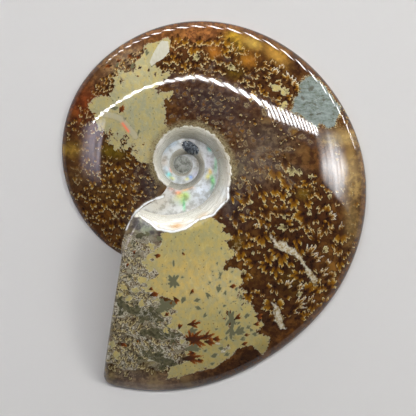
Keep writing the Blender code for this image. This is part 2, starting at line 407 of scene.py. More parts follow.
CRUST = ((53, 36), (55.1, 34.3), (59.1, 29.7), (64, 23.3), (63.4, 19.7), (61.5, 15.3), (58.7, 14.5), (55.1, 16),
         (54, 14), (48, 19), (43.5, 20.7), (43.5, 22), (44.7, 26.5), (47.1, 29), (46.6, 31.7), (49.7, 35.3))
CRUST_PITS = ((51.8, 30.5, 1.5, 1.0, 60), (48.2, 26.5, 1.2, 0.7, 120), (55.1, 20.3, 2.0, 0.5, 20),
              (50.5, 33.0, 2.2, 0.5, 100), (57, 26, 0.8, 0.6, 0), (53.2, 24.0, 1.6, 0.35, 150))
# healed cracks: a pale line of filling, on squares of 0.3955 mm, with its half width in millimetres
VEIN_RIGHT = ((82, -61, 0.3), (86.9, -67.8, 0.5), (90.3, -74.5, 1.0), (95.6, -80.3, 1.8), (101.4, -82.7, 2.0),
              (110.1, -88.5, 1.7), (115.9, -91.9, 1.4), (120.7, -98.1, 0.9), (124.5, -103.4, 1.0), (128.9, -110.2, 1.6),
              (132.7, -116.9, 1.8), (135.6, -122.2, 0.6))
VEIN_LOWER = ((89.4, -138.1, 0.5), (92, -141.5, 1.0), (95.1, -145.3, 1.5), (97.3, -155.3, 2.0), (100.9, -163.9, 1.6),
              (104.4, -166.7, 0.5))
# the crowded stretch of last sutures beside the mouth
CROWDED = ((-26, -28.5), (-13.5, -28), (-8.5, -30), (-8, -54), (0, -58), (0, -66), (14, -70), (22, -74), (12, -81.5),
           (2, -83), (-8.6, -81.6), (-22.5, -82.2), (-29, -79.5), (-36, -76), (-38, -60))
# the tone of the stone under the leaves, and patches of painted sheen and painted highlight laid over it: x, y, reach
# along and across, direction, colour, strength
DEEP = srgb(90, 57, 28)
TONES_AND_SHEENS = (
    (-39.0, 24, 8.5, 6.0, 60, srgb(128, 60, 28), 0.85), (-44.5, 6, 3.0, 5.5, 90, srgb(150, 118, 50), 0.9),
    (-41.5, -6, 4.5, 8.0, 90, srgb(104, 76, 44), 0.7), (-28, 4.8, 7.0, 3.2, 170, srgb(98, 80, 18), 0.95),
    (-30, -10, 7.0, 8.0, 0, srgb(106, 75, 32), 0.8), (-33, -22, 9.0, 6.0, 130, srgb(118, 74, 22), 0.8),
    (-27, -31.5, 5.0, 3.0, 140, srgb(150, 98, 34), 0.8), (-27, 40, 10.0, 4.6, 42, srgb(146, 112, 76), 0.85),
    (4, 51, 18.0, 5.6, 5, srgb(158, 104, 60), 0.9), (-20, 46, 8.0, 5.0, 30, srgb(132, 92, 60), 0.8), (20.5, 51, 3.4, 2.6, 0, srgb(192, 154, 50), 0.95),
    (22, 47.5, 3.0, 2.2, 150, srgb(196, 160, 60), 0.9), (28.5, 48.7, 3.6, 2.2, 160, srgb(190, 156, 74), 0.95),
    (27, 41.5, 3.8, 3.0, 0, srgb(152, 100, 34), 0.85), (13, 45, 3.6, 3.0, 0, srgb(150, 94, 34), 0.85),
    (38.5, 43.3, 6.0, 2.8, 140, srgb(184, 140, 62), 0.95),
    # (-22.5, 41.5): a pale patch of painted sheen on the upper left flank
    (-22.5, 41.5, 6.0, 3.2, 40, srgb(204, 180, 144), 0.9), (21, 36.5, 4.2, 2.6, 0, srgb(110, 88, 26), 0.8),
    # (12, 24): painted grey-blue sheen on the dark stone above the eye
    (2, 37, 8.0, 4.0, 0, srgb(96, 68, 44), 0.7), (12, 24, 13, 7, 160, srgb(67, 60, 61), 0.9),
    (46, 40, 3.5, 5.0, 40, srgb(58, 36, 26), 0.8), (36, 36, 4, 4, 0, srgb(70, 44, 24), 0.7),
    # (65.5, 11), (68.5, -5), (68.5, -24): the right rim's amber, lightened with painted sheen and with painted light
    # against the shade of the steep rim
    (65.5, 11, 3.2, 7.0, 80, srgb(168, 142, 94), 0.95), (60, 9.5, 2.2, 4.0, 90, srgb(150, 130, 74), 0.8),
    (68.5, -5, 4.0, 9.0, 0, srgb(174, 148, 102), 0.95), (68.5, -24, 3.4, 10.0, 0, srgb(130, 106, 66), 0.95),
    # (34, 10) and (28, -4): painted grey-blue sheen on the dark stone right of the eye
    (34, 10, 12, 7, 160, srgb(97, 85, 72), 0.85), (28, -4, 10, 6, 170, srgb(106, 92, 80), 0.85),
    (44, -2, 8, 8, 0, srgb(96, 68, 42), 0.7), (37, -0.5, 9.0, 1.6, 168, srgb(148, 138, 126), 0.6),
    (30, 4.5, 5.0, 1.4, 30, srgb(136, 128, 116), 0.5),
    (20.5, -15, 5.0, 9.0, 10, srgb(78, 76, 79), 0.9), (-12.5, -8, 5.0, 8.0, 0, srgb(78, 74, 74), 0.9),
    (23.5, 0, 3.0, 6.0, 0, srgb(116, 110, 94), 0.6), (48.2, -12, 3.0, 2.4, 0, srgb(112, 88, 24), 0.9),
    (36, -17, 9, 5, 0, srgb(88, 54, 28), 0.8), (52, -24, 9, 9, 0, srgb(66, 36, 17), 0.85), (40, -40, 12, 9, 150, srgb(56, 33, 15), 0.8),
    (22, -31.5, 3.0, 3.4, 0, srgb(92, 68, 20), 0.85), (26, -44, 4.5, 3.5, 150, srgb(110, 74, 28), 0.8),
    (43, -48, 5.0, 4.0, 130, srgb(104, 76, 22), 0.75), (40, -28, 6, 5, 0, srgb(60, 35, 16), 0.75),
    (60, -40, 5.0, 9.0, 20, srgb(124, 84, 40), 0.8), (56, -56, 6, 9, 140, srgb(112, 72, 30), 0.85),
    (46, -66, 8, 4, 45, srgb(104, 66, 28), 0.85), (32, -62, 3.5, 4, 0, srgb(58, 40, 24), 0.8),
    (26, -78, 7, 3.4, 35, srgb(60, 38, 20), 0.9), (8, -88, 14, 3.2, 12, srgb(62, 42, 26), 0.9),
    (-16, -87.5, 18, 5.0, 4, srgb(142, 119, 99), 0.95), (-24, -83.5, 9.0, 3.6, 0, srgb(150, 134, 120), 0.9), (-30, -80, 5.0, 9.0, 0, srgb(130, 112, 72), 0.8),
    # (-14.5, -24.5): the bluish-grey glassy nose by the mouth, brightened with its painted highlight
    (-14.5, -24.5, 5.8, 4.6, 150, srgb(144, 150, 150), 0.97), (-20, -36, 5.0, 9.0, 0, srgb(132, 124, 106), 0.85),
    (-20, -56, 9.0, 16.0, 0, srgb(122, 114, 86), 0.8), (-14, -76, 12.0, 8.0, 0, srgb(98, 88, 50), 0.8),
)
TAN = srgb(164, 154, 106)
TAN_TINTS = ((-20, 22, 16, 20, 0, srgb(152, 149, 115), 0.95), (-20, 38, 8, 10, 60, srgb(178, 170, 128), 0.8),
             (6, -29, 14, 7, 0, srgb(153, 146, 98), 0.8), (2, -46, 9, 14, 100, srgb(178, 158, 98), 0.8),
             (16, -48, 7, 14, 90, srgb(176, 164, 118), 0.8), (14, -70, 18, 10, 20, srgb(152, 142, 92), 0.8),
             (32, -73, 4, 4, 0, srgb(140, 130, 84), 0.9), (-16, 6, 6, 5, 0, srgb(168, 160, 122), 0.9))
# where small ringed dots lie between the stems, round the eye: x, y, reach, reach, direction, level
DOTTED = ((14, 24, 22, 10, 160, 1.0), (2, 30, 12, 6, 0, 1.0), (30, 4, 12, 14, 0, 0.9), (24, -8, 8, 8, 0, 0.7),
          (-16, -8, 7, 8, 0, 0.6), (36, 20, 12, 8, 150, 0.8), (44, -4, 12, 8, 0, 0.45))
# how clearly the leaves show: x, y, reach, reach, direction, level (1 = crisp, 0 = sunk in a milky haze)
HAZES = ((-43, 2, 4.5, 12.0, 0, 0.35), (-38, 25, 6, 5, 60, 0.45), (66, 6, 4.0, 14.0, 10, 0.05), (67, -20, 4.0, 12, 0, 0.3),
         (28, 49, 8.0, 3.0, 150, 0.1), (38.5, 43.3, 6.0, 2.6, 140, 0.15), (13, 45, 3.4, 3.0, 0, 0.2),
         (27, 41.5, 3.8, 3.0, 0, 0.15), (30, -3, 12, 5, 170, 0.55), (14, 23, 10, 5, 160, 0.6), (-28, 4.8, 6, 2.6, 170, 0.25),
         (48.2, -12, 2.6, 2.2, 0, 0.2), (56, -60, 6, 5, 140, 0.6), (30, 6, 7, 5, 0, 0.5), (-16, -90, 18, 3, 4, 0.1),
         (22, -31.5, 2.6, 3.0, 0, 0.3))


# the eye of the coil: mother-of-pearl tints, laid one over another
PEARL = srgb(198, 202, 200)
PEARL_TINTS = (
    (-9, -15.7, 6.5, 4.0, 30, srgb(196, 190, 174), 0.9), (-7.4, 1.0, 1.6, 3.0, 0, srgb(200, 184, 164), 0.6),
    (8.2, -11.1, 3.6, 3.0, 30, srgb(226, 234, 240), 0.9), (2.0, -18.0, 7.0, 1.8, 8, srgb(226, 226, 222), 0.8),
    (-3.6, 8.4, 2.6, 1.4, 20, srgb(168, 182, 194), 0.85), (-7.2, 6.2, 1.6, 2.2, 140, srgb(170, 184, 196), 0.8),
    (10.6, 0.6, 1.8, 2.6, 0, srgb(206, 204, 210), 0.7), (11.0, 6.2, 1.1, 0.7, 130, srgb(120, 224, 206), 0.9),
    (8.0, 8.6, 2.0, 1.2, 140, srgb(190, 190, 186), 0.7), (6.8, 2.0, 1.4, 3.0, 0, srgb(196, 184, 162), 0.8),
    (-5.5, -4.0, 1.3, 0.9, 130, srgb(130, 226, 224), 0.95), (-4.0, -5.6, 1.2, 0.6, 150, srgb(226, 232, 150), 0.95),
    (-4.6, -2.4, 0.3, 1.1, 20, srgb(236, 150, 90), 0.9), (-6.6, -2.0, 1.0, 1.6, 20, srgb(206, 218, 226), 0.8),
    (-1.8, -6.6, 1.8, 0.9, 170, srgb(206, 216, 220), 0.8), (2.3, -5.7, 1.1, 0.5, 20, srgb(236, 232, 128), 0.9),
    (3.4, -5.1, 0.9, 0.8, 30, srgb(136, 178, 240), 0.85), (5.4, -4.0, 1.3, 1.2, 40, srgb(208, 208, 222), 0.8),
    (-4.0, -10.2, 1.7, 0.6, 155, srgb(246, 150, 100), 0.95), (-1.6, -11.1, 1.3, 0.6, 170, srgb(252, 150, 96), 0.95),
    (1.6, -10.0, 1.9, 0.5, 12, srgb(240, 176, 110), 0.9), (3.8, -9.3, 1.2, 0.5, 10, srgb(240, 190, 140), 0.7),
    (-0.8, -12.8, 2.2, 1.0, 20, srgb(226, 214, 104), 0.85), (1.4, -12.6, 1.5, 1.6, 60, srgb(184, 220, 112), 0.85),
    (0.3, -14.6, 1.7, 1.2, 40, srgb(168, 206, 120), 0.8), (0.8, -16.6, 0.5, 2.2, 4, srgb(118, 226, 160), 0.85),
    (-2.6, -14.4, 1.4, 1.0, 30, srgb(190, 200, 170), 0.6), (11.2, -3.0, 0.7, 1.2, 10, srgb(240, 206, 96), 0.9),
    (10.3, -4.9, 0.7, 1.1, 160, srgb(232, 226, 110), 0.9), (12.2, -6.4, 0.8, 1.9, 8, srgb(128, 230, 130), 0.9),
    (13.4, -0.4, 0.5, 3.2, 176, srgb(150, 226, 170), 0.8), (12.0, -9.4, 0.5, 1.6, 160, srgb(150, 220, 190), 0.7),
)
# tints of the eye's walls, one of them partly a painted highlight
WALL_TINTS_AND_HIGHLIGHT = (
    (0, 13.5, 12, 4.0, 0, srgb(196, 192, 172), 0.95), (-12.6, 3, 2.6, 10, 0, srgb(190, 184, 164), 0.9),
    (16.5, 5, 3.4, 9, 20, srgb(184, 178, 158), 0.9), (18, -6, 2.6, 6, 0, srgb(206, 200, 186), 0.7),
    (-2, -24.6, 2.6, 1.0, 10, srgb(196, 142, 62), 0.8), (8, -20.6, 2.4, 0.9, 30, srgb(206, 176, 128), 0.6),
    # (17.2, -11.6): white ledge lines of the lower right wall, brightened with a painted highlight
    (17.2, -11.6, 2.0, 3.0, 20, srgb(214, 216, 214), 0.9),
)
WALL = srgb(222, 220, 210)
PIT = (3.3, 6.7, 3.9, 2.3, -33)
# bare white edges of the shell layer round the eye, bright lines that are partly the white shell edge and partly its
# painted highlight, and the outline that the lower one closes
WHITE_EDGES_AND_HIGHLIGHTS = (((-7, -12.7), (-11, -14.1), (-13.9, -15.3), (-16.1, -16.9), (-18.7, -19.2), (-20.3, -22.1), (-22.1, -26)),
               ((18.2, -9.5), (18.4, -14), (15.8, -16.4), (12.3, -20.3), (6.4, -22.2), (1.7, -25.4), (-3.4, -26.9),
                (-9.7, -25.8), (-12.5, -23), (-16.4, -20.6)))
EYE_OUTLINE = WHITE_EDGES_AND_HIGHLIGHTS[1] + ((-22.1, -21.5), (-30, -10), (-30, 30), (30, 30), (30, -6), (19.4, -7.5))


def polygon_field(p, corners):
    """Distance in millimetres to a closed outline, positive inside."""
    c = np.array(corners, float)
    near = np.full(len(p), 1e9)
    inside = np.zeros(len(p), bool)
    for a, b in zip(c, np.roll(c, -1, axis=0)):
        e, w = b - a, p - a
        h = np.clip((w @ e) / (e @ e), 0, 1)
        near = np.minimum(near, np.hypot(*(w - h[:, None] * e).T))
        crosses = ((a[1] > p[:, 1]) != (b[1] > p[:, 1]))
        with np.errstate(divide="ignore", invalid="ignore"):
            x = a[0] + (p[:, 1] - a[1]) * e[0] / e[1]
        inside ^= crosses & (p[:, 0] < x)
    return np.where(inside, near, -near)


def line_field(p, stops, half_width):
    c = np.array(stops, float)
    near = np.full(len(p), 1e9)
    for a, b in zip(c[:-1], c[1:]):
        e, w = b - a, p - a
        h = np.clip((w @ e) / (e @ e), 0, 1)
        near = np.minimum(near, np.hypot(*(w - h[:, None] * e).T))
    return half_width - near


def band_field(p, stops, unit):
    """Distance in millimetres to a band along a line, positive inside; stops in units, half widths in millimetres."""
    c = np.array(stops, float) * np.array([unit, unit, 1.0])
    best = np.full(len(p), -1e9)
    for a, b in zip(c[:-1], c[1:]):
        e, w = b[:2] - a[:2], p - a[:2]
        h = np.clip((w @ e) / (e @ e), 0, 1)
        best = np.maximum(best, a[2] + (b[2] - a[2]) * h - np.hypot(*(w - h[:, None] * e).T))
    return best


def oval(p, x, y, a, b, turn):
    """1 at the centre of an oval, 0 on its outline, negative outside."""
    c, s = math.cos(math.radians(turn)), math.sin(math.radians(turn))
    u = (p[:, 0] - x) * c + (p[:, 1] - y) * s
    v = -(p[:, 0] - x) * s + (p[:, 1] - y) * c
    return 1.0 - np.hypot(u / a, v / b)


def ovals_field(p, table):
    """Rough distance in millimetres to the nearest oval's outline, positive inside."""
    best = np.full(len(p), -99.0)
    for x, y, a, b, turn in table:
        best = np.maximum(best, oval(p, x, y, a, b, turn) * min(a, b))
    return best


def bell(p, x, y, a, b, turn):
    d = 1.0 - oval(p, x, y, a, b, turn)
    return np.exp(-0.9 * d ** 2.4)
# --- the leaves of the sutures ------------------------------------------------------------------------------------
# Where a septum met the shell its edge was folded into leaves, and the polish shows them as dark stems that fan out
# into amber lobes with a pale rim. Laid out on squares of 0.3955 mm, from the middle of the coil: x to the right,
# y up, direction of the tips in degrees, length in squares, number of lobes, and make:
# 0 amber lobes, 1 plain lobes with a longer pale rim, 2 pale khaki, 3 fine white-tipped brushes, 4 garlands, 5 olive.
SQUARE = 0.3955
LEFT_LEAVES = (
    (-72, 1, 270, 5, 3, 0), (-65, -4, 270, 10, 3, 0), (-55, 0, 270, 7, 3, 0), (-46, 0, 268, 6, 3, 0),
    (-38, -2, 265, 5, 3, 0), (-79, 8, 270, 5, 3, 1), (-82, -1, 265, 4, 2, 0), (-72, -12, 92, 9, 3, 0),
    (-80, -17, 135, 8, 3, 0), (-65, -21, 270, 7, 3, 0), (-59, -22, 275, 9, 3, 0), (-51, -16, 270, 5, 3, 0),
    (-41, -12, 262, 6, 3, 0), (-34, -14, 275, 6, 3, 0), (-48, -27, 62, 7, 3, 0), (-41, -28, 262, 6, 3, 0),
    (-63, -32, 95, 10, 3, 0), (-75, -33, 280, 6, 2, 0), (-67, -39, 152, 9, 3, 0), (-49, -38, 268, 8, 3, 0),
    (-55, -38, 270, 4, 3, 0), (-79, -42, 272, 9, 3, 0), (-91, -42, 272, 9, 3, 0), (-84, -27, 250, 5, 2, 0),
    (-49, -47, 108, 8, 3, 0), (-65, -48, 265, 5, 3, 0), (-60, -52, 275, 6, 3, 0), (-53, -54, 180, 6, 3, 0),
    (-85, -54, 195, 8, 3, 0), (-79, -57, 272, 5, 3, 0), (-86, -60, 265, 4, 2, 0), (-72, -63, 285, 9, 3, 0),
    (-61, -62, 278, 10, 4, 0), (-65, -74, 120, 7, 3, 0), (-68, -82, 200, 8, 3, 0), (-63, -85, 280, 6, 3, 0),
    (-90, -59, 270, 5, 2, 0), (-97, 5, 270, 8, 3, 0), (-101, 9, 262, 5, 2, 0), (-107, 15, 265, 7, 3, 0),
    (-108, 21, 270, 5, 2, 0), (-86, 16, 270, 6, 2, 0), (-103, -15, 250, 6, 2, 0), (-91, -20, 270, 10, 3, 0),
    (-27, -23, 265, 5, 3, 0), (-34, -23, 270, 4, 3, 0), (-31, -18, 260, 4, 2, 0), (-79, -27, 270, 5, 2, 0),
    (-84, -11, 205, 6, 3, 0), (-88, -32, 250, 6, 2, 0), (-72, -54, 250, 5, 3, 0), (-58, -74, 270, 5, 3, 0),
    (-94, -30, 240, 5, 3, 0), (-98, -24, 255, 6, 3, 0), (-104, -6, 265, 6, 3, 0), (-111, 4, 262, 5, 2, 0),
    (-66, 6, 272, 4, 2, 0), (-59, 6, 268, 4, 2, 0), (-52, 5, 270, 4, 2, 0), (-88, 3, 268, 5, 2, 0),
    (-71, -46, 262, 4, 2, 0), (-57, -30, 270, 4, 2, 0), (-70, -27, 262, 4, 2, 0), (-45, -20, 268, 5, 3, 0),
    (-56, -10, 266, 5, 3, 0), (-60, -13, 272, 4, 2, 0), (-37, -32, 255, 4, 3, 0), (-44, -36, 264, 4, 2, 0),
    (-78, -70, 262, 6, 3, 0), (-88, -49, 262, 5, 2, 0), (-98, -38, 258, 5, 2, 0),
)
RIGHT_LEAVES = (
    (80, -1, 270, 6, 2, 0), (91, -3, 268, 7, 2, 0), (96, -3, 272, 7, 2, 0), (110, -8, 268, 11, 4, 2),
    (118, -9, 275, 8, 3, 2), (129, -12, 95, 7, 2, 2), (134, -12, 270, 6, 2, 0), (76, -22, 270, 9, 3, 1),
    (73, -14, 92, 7, 2, 1), (86, -15, 90, 7, 3, 1), (101, -13, 85, 7, 2, 1), (115, -22, 62, 9, 2, 0),
    (93, -29, 262, 11, 4, 0), (108, -30, 80, 5, 2, 2), (60, -30, 80, 5, 2, 0), (53, -25, 70, 5, 2, 0),
    (112, -40, 266, 16, 4, 0), (127, -41, 288, 12, 4, 0), (102, -43, 82, 10, 3, 0), (94, -44, 80, 9, 2, 0),
    (84, -42, 72, 8, 2, 0), (70, -38, 60, 5, 2, 2), (70, -49, 295, 8, 3, 0), (53, -48, 50, 7, 2, 0),
    (62, -56, 22, 9, 2, 0), (80, -59, 250, 10, 3, 0), (86, -62, 272, 9, 3, 0), (102, -54, 262, 6, 2, 2),
    (108, -58, 35, 11, 3, 0), (101, -64, 190, 10, 3, 2), (134, -59, 270, 14, 2, 1), (126, -68, 280, 9, 2, 0),
    (128, -50, 260, 6, 3, 2), (147, -45, 72, 10, 3, 0), (152, -52, 32, 14, 4, 3), (149, -32, 90, 6, 3, 2),
    (151, -67, 150, 9, 3, 1), (161, -64, 80, 12, 3, 3), (58, -68, 248, 8, 3, 0), (74, -62, 32, 10, 3, 3),
    (83, -68, 92, 7, 2, 0), (91, -70, 88, 8, 3, 0), (110, -68, 82, 7, 1, 3), (120, -73, 95, 5, 2, 0),
    (115, -80, 270, 15, 3, 0), (69, -81, 250, 9, 3, 0), (54, -84, 350, 7, 3, 2), (90, -88, 205, 12, 2, 0),
    (71, -90, 262, 5, 2, 2), (83, -92, 200, 6, 2, 0), (67, -100, 192, 14, 3, 0), (80, -102, 205, 13, 3, 0),
    (83, -108, 246, 11, 2, 0), (94, -108, 268, 17, 3, 0), (101, -108, 270, 8, 1, 0), (109, -102, 285, 12, 2, 0),
    (66, -113, 342, 10, 3, 0), (130, -87, 52, 19, 5, 3), (137, -95, 26, 14, 3, 3), (145, -86, 40, 8, 4, 2),
    (148, -98, 50, 13, 2, 3), (143, -109, 40, 15, 3, 3), (160, -103, 270, 14, 3, 0), (107, -121, 55, 13, 4, 3),
    (88, -122, 40, 9, 2, 0), (93, -128, 262, 14, 2, 1), (76, -128, 90, 9, 2, 0), (81, -132, 272, 9, 2, 1),
    (66, -134, 264, 14, 4, 0), (119, -124, 20, 14, 3, 3), (119, -131, 30, 7, 3, 2), (108, -135, 330, 9, 2, 0),
    (120, -140, 32, 19, 5, 3), (131, -138, 62, 14, 3, 3), (115, -148, 20, 14, 2, 3), (108, -153, 18, 8, 2, 0),
    (132, -147, 262, 11, 3, 0), (146, -137, 80, 13, 2, 0), (140, -143, 84, 10, 2, 0), (56, -117, 340, 8, 3, 0),
    (55, -84, 15, 8, 3, 1), (62, -107, 70, 7, 2, 2), (174, -60, 272, 8, 2, 1), (168, -50, 275, 8, 2, 0),
    (172, -8, 270, 7, 2, 1), (137, -78, 262, 7, 2, 0), (104, -76, 262, 8, 3, 0), (66, -70, 262, 7, 3, 0),
    (124, -27, 270, 7, 3, 0), (136, -30, 262, 8, 3, 1), (141, -22, 260, 7, 2, 0), (120, -118, 290, 8, 2, 0),
)
TOP_LEAVES = (
    (-15, 112, 255, 7, 3, 1), (-7, 118, 265, 6, 3, 1), (-2, 112, 250, 6, 3, 1), (4, 119, 262, 6, 2, 1),
    (10, 121, 290, 7, 3, 1), (18, 116, 250, 7, 3, 1), (24, 112, 285, 6, 3, 1), (31, 117, 265, 7, 3, 1),
    (36, 111, 250, 6, 3, 1), (14, 108, 200, 9, 4, 2), (23, 104, 350, 8, 3, 1), (-4, 104, 262, 9, 3, 1),
    (-13, 103, 275, 8, 3, 1), (6, 103, 88, 7, 3, 1), (11, 98, 268, 8, 3, 1), (17, 98, 40, 9, 4, 1),
    (22, 93, 20, 8, 3, 1), (30, 100, 265, 7, 3, 1), (37, 103, 270, 9, 4, 1), (45, 101, 255, 8, 3, 1),
    (50, 97, 285, 8, 4, 2), (57, 104, 262, 9, 3, 1), (61, 112, 262, 6, 2, 1), (56, 96, 280, 6, 3, 1),
    (66, 91, 300, 9, 3, 1), (74, 88, 300, 9, 4, 1), (83, 100, 340, 11, 4, 1), (86, 90, 320, 10, 3, 1),
    (92, 103, 85, 9, 3, 1), (95, 94, 60, 12, 4, 3), (101, 99, 80, 9, 4, 3), (108, 88, 100, 14, 4, 3),
    (114, 82, 90, 12, 4, 3), (97, 82, 45, 11, 3, 1), (104, 74, 60, 10, 4, 2), (116, 76, 70, 9, 3, 0),
    (88, 80, 330, 7, 2, 1), (-21, 97, 240, 7, 3, 1), (-8, 96, 95, 5, 2, 1), (0, 93, 280, 6, 3, 0),
    (41, 92, 250, 7, 3, 1), (31, 90, 270, 6, 2, 1), (47, 110, 240, 7, 3, 1), (68, 107, 280, 8, 3, 1),
    (76, 97, 250, 8, 3, 1), (66, 84, 262, 6, 3, 0), (78, 79, 280, 7, 3, 0), (108, 68, 30, 8, 3, 0),
    (121, 66, 60, 9, 3, 3), (98, 66, 300, 7, 3, 0), (72, 73, 268, 6, 3, 0),
    (-48, 104, 230, 8, 3, 1), (-56, 98, 225, 8, 3, 1), (-64, 92, 228, 8, 3, 1), (-70, 84, 222, 8, 3, 1),
    (-78, 76, 225, 8, 3, 1), (-84, 68, 230, 7, 3, 1), (-90, 59, 232, 8, 3, 1), (-95, 50, 240, 8, 3, 1),
    (-100, 42, 242, 8, 3, 1), (-104, 33, 250, 7, 3, 1), (-94, 64, 232, 7, 3, 1), (-73, 90, 225, 6, 3, 0),
    (-60, 104, 222, 6, 3, 0), (-103, 50, 240, 6, 3, 0), (-110, 36, 250, 6, 3, 0), (-86, 80, 228, 6, 3, 0),
    (-98, 34, 250, 6, 3, 1), (-93, 42, 240, 6, 3, 1), (-40, 110, 232, 7, 3, 1), (-26, 118, 240, 7, 3, 1),
    (-33, 104, 240, 6, 3, 1), (-18, 122, 250, 6, 3, 0),
)
# rows of small lobes hanging side by side from a line: its points, which way they hang, their length, how far apart
GARLANDS = (
    (((-16, 122), (-10, 121), (-4, 121), (2, 123), (7, 128)), 268, 5.5, 3.4), (((-19, 103), (-10, 105), (1, 105)), 258, 7.5, 3.0),
    (((3, 119), (10, 116), (17, 117), (24, 112)), 262, 5.0, 3.2), (((2, 99), (8, 102), (14, 101), (17, 96)), 285, 6.5, 3.6),
    (((13, 123), (19, 121), (27, 123)), 268, 5.0, 3.4), (((28, 125), (34, 126), (40, 132)), 275, 5.0, 3.6),
    (((38, 114), (43, 109), (52, 109)), 262, 5.5, 3.4), (((35, 104), (42, 102), (50, 100)), 268, 5.5, 3.6),
    (((22, 107), (31, 108)), 268, 4.5, 3.2), (((53, 116), (61, 113), (69, 111)), 266, 5.0, 3.6),
    (((60, 97), (67, 92), (74, 88)), 276, 6.0, 3.6), (((-22, 95), (-14, 97), (-6, 95)), 262, 5.0, 3.6),
    (((-12, 91), (-2, 93), (8, 92), (18, 93)), 268, 4.6, 3.8), (((26, 95), (36, 94), (46, 91)), 268, 5.0, 4.0),
    (((-92, 66), (-84, 76), (-75, 85), (-66, 93)), 228, 5.0, 3.4), (((-99, 51), (-92, 60), (-86, 66)), 236, 5.0, 3.6),
    (((-64, 98), (-55, 104), (-46, 109)), 226, 5.0, 3.4), (((-44, 113), (-34, 119), (-24, 123)), 232, 4.5, 3.4),
    (((-106, 30), (-102, 41), (-97, 49)), 244, 4.8, 3.6), (((-109, 16), (-102, 17), (-96, 15)), 266, 5.0, 3.4),
    (((-112, -6), (-105, -3), (-98, -5)), 266, 5.5, 3.6), (((-96, -10), (-88, -8), (-82, -9)), 266, 5.0, 3.4),
    (((82, 102), (88, 98), (92, 91)), 330, 6.0, 3.4), (((100, 92), (108, 84), (112, 75)), 40, 6.5, 3.6),
    (((84, 86), (90, 80), (96, 74)), 310, 5.5, 3.6), (((108, 66), (115, 62), (120, 56)), 40, 5.0, 3.4),
    (((58, -50), (66, -54), (74, -54), (82, -50)), 252, 6.5, 4.0), (((92, -50), (100, -52), (108, -50)), 262, 6.5, 4.0),
    (((62, -76), (70, -74), (78, -76)), 255, 6.5, 4.0), (((56, -94), (62, -96), (70, -94)), 240, 6.0, 4.0),
    (((60, -128), (67, -127), (74, -129)), 262, 8.0, 4.2), (((106, -66), (114, -64), (122, -66)), 268, 7.0, 4.2),
    (((118, -30), (126, -32), (134, -30), (141, -33)), 264, 6.5, 4.0), (((98, -22), (106, -20), (113, -22)), 266, 6.0, 4.0),
    (((146, -24), (152, -28), (158, -27)), 262, 6.5, 4.0), (((140, -62), (147, -60), (154, -64)), 262, 7.0, 4.0),
    (((150, -80), (156, -84), (160, -90)), 300, 8.0, 3.6), (((136, -126), (142, -128), (148, -125)), 262, 8.0, 3.8),
    (((118, -152), (126, -154), (133, -150)), 262, 7.0, 3.8), (((164, -72), (169, -74), (174, -72)), 268, 8.0, 3.4),
    (((-84, -20), (-77, -22), (-70, -20)), 268, 5.5, 3.6), (((-76, -44), (-69, -46), (-62, -44)), 266, 5.5, 3.6),
    (((-54, -30), (-47, -32), (-40, -30)), 266, 5.0, 3.6), (((-92, -34), (-86, -36), (-80, -34)), 262, 5.5, 3.6),
    (((-82, -66), (-76, -70), (-70, -72)), 250, 5.5, 3.6), (((-58, 12), (-50, 11), (-44, 12)), 268, 5.0, 3.4),
)
# the same in the crowded last sutures by the mouth: olive lobes with a pale rim
FRILLS = (
    (((-58, -86), (-48, -83), (-38, -81), (-28, -86)), 250, 4.2, 3.2), (((-61, -94), (-50, -91), (-40, -91), (-31, -95)), 240, 4.2, 3.2),
    (((-62, -102), (-52, -99), (-42, -101), (-33, -105)), 240, 4.6, 3.3), (((-63, -110), (-52, -108), (-42, -110), (-36, -113)), 235, 4.6, 3.3),
    (((-64, -118), (-54, -116), (-44, -118), (-36, -121)), 215, 5.0, 3.3), (((-66, -127), (-55, -124), (-45, -126), (-32, -129)), 205, 6.0, 3.3),
    (((-67, -134), (-46, -134), (-34, -137), (-24, -135)), 215, 5.5, 3.3), (((-50, -141), (-38, -141), (-28, -142)), 240, 5.0, 3.3),
    (((-69, -155), (-58, -158), (-46, -161), (-34, -163), (-22, -160), (-12, -158)), 232, 5.5, 3.2),
    (((-70, -163), (-60, -166), (-48, -169), (-40, -173)), 228, 5.5, 3.2),
    (((-71, -171), (-60, -174), (-50, -178), (-38, -181), (-26, -181), (-14, -182)), 236, 5.5, 3.2),
    (((-73, -180), (-62, -183), (-50, -186), (-40, -189), (-28, -188)), 244, 6.0, 3.2),
    (((-74, -189), (-63, -192), (-52, -194), (-42, -197)), 250, 6.0, 3.2),
    (((-76, -198), (-64, -200), (-52, -203), (-40, -206), (-28, -209)), 244, 6.0, 3.2),
    (((-77, -206), (-65, -209), (-52, -212)), 244, 5.5, 3.2), (((-14, -190), (-4, -192), (4, -196)), 280, 6.5, 3.2),
    (((-22, -208), (-8, -206), (4, -203)), 262, 6.5, 3.2), (((-58, -150), (-50, -152), (-40, -156)), 250, 5.0, 3.2),
)
# where to strew the small ones that fill in between: x, y, reach along and across, direction, how many to a square
# centimetre, direction of their tips, length in squares
STREWN = (
    (-80, -20, 34, 62, 0, 8.0, 268, 6.8), (106, -62, 58, 60, 0, 6.5, 258, 17.0), (100, -60, 62, 62, 0, 2.0, 262, 6.5), (120, -125, 42, 26, 40, 8.0, 40, 17.0),
    (36, 104, 70, 20, 170, 6.5, 268, 11.0), (-80, 66, 60, 16, 50, 11.0, 232, 5.6), (90, 78, 26, 26, 0, 7.0, 300, 10.5),
    (90, -18, 52, 22, 170, 7.0, 268, 6.8), (166, -30, 12, 90, 0, 4.0, 270, 7.0), (60, 30, 60, 24, 165, 9.0, 262, 4.2),
    (20, 62, 36, 14, 170, 9.0, 266, 4.0),
)
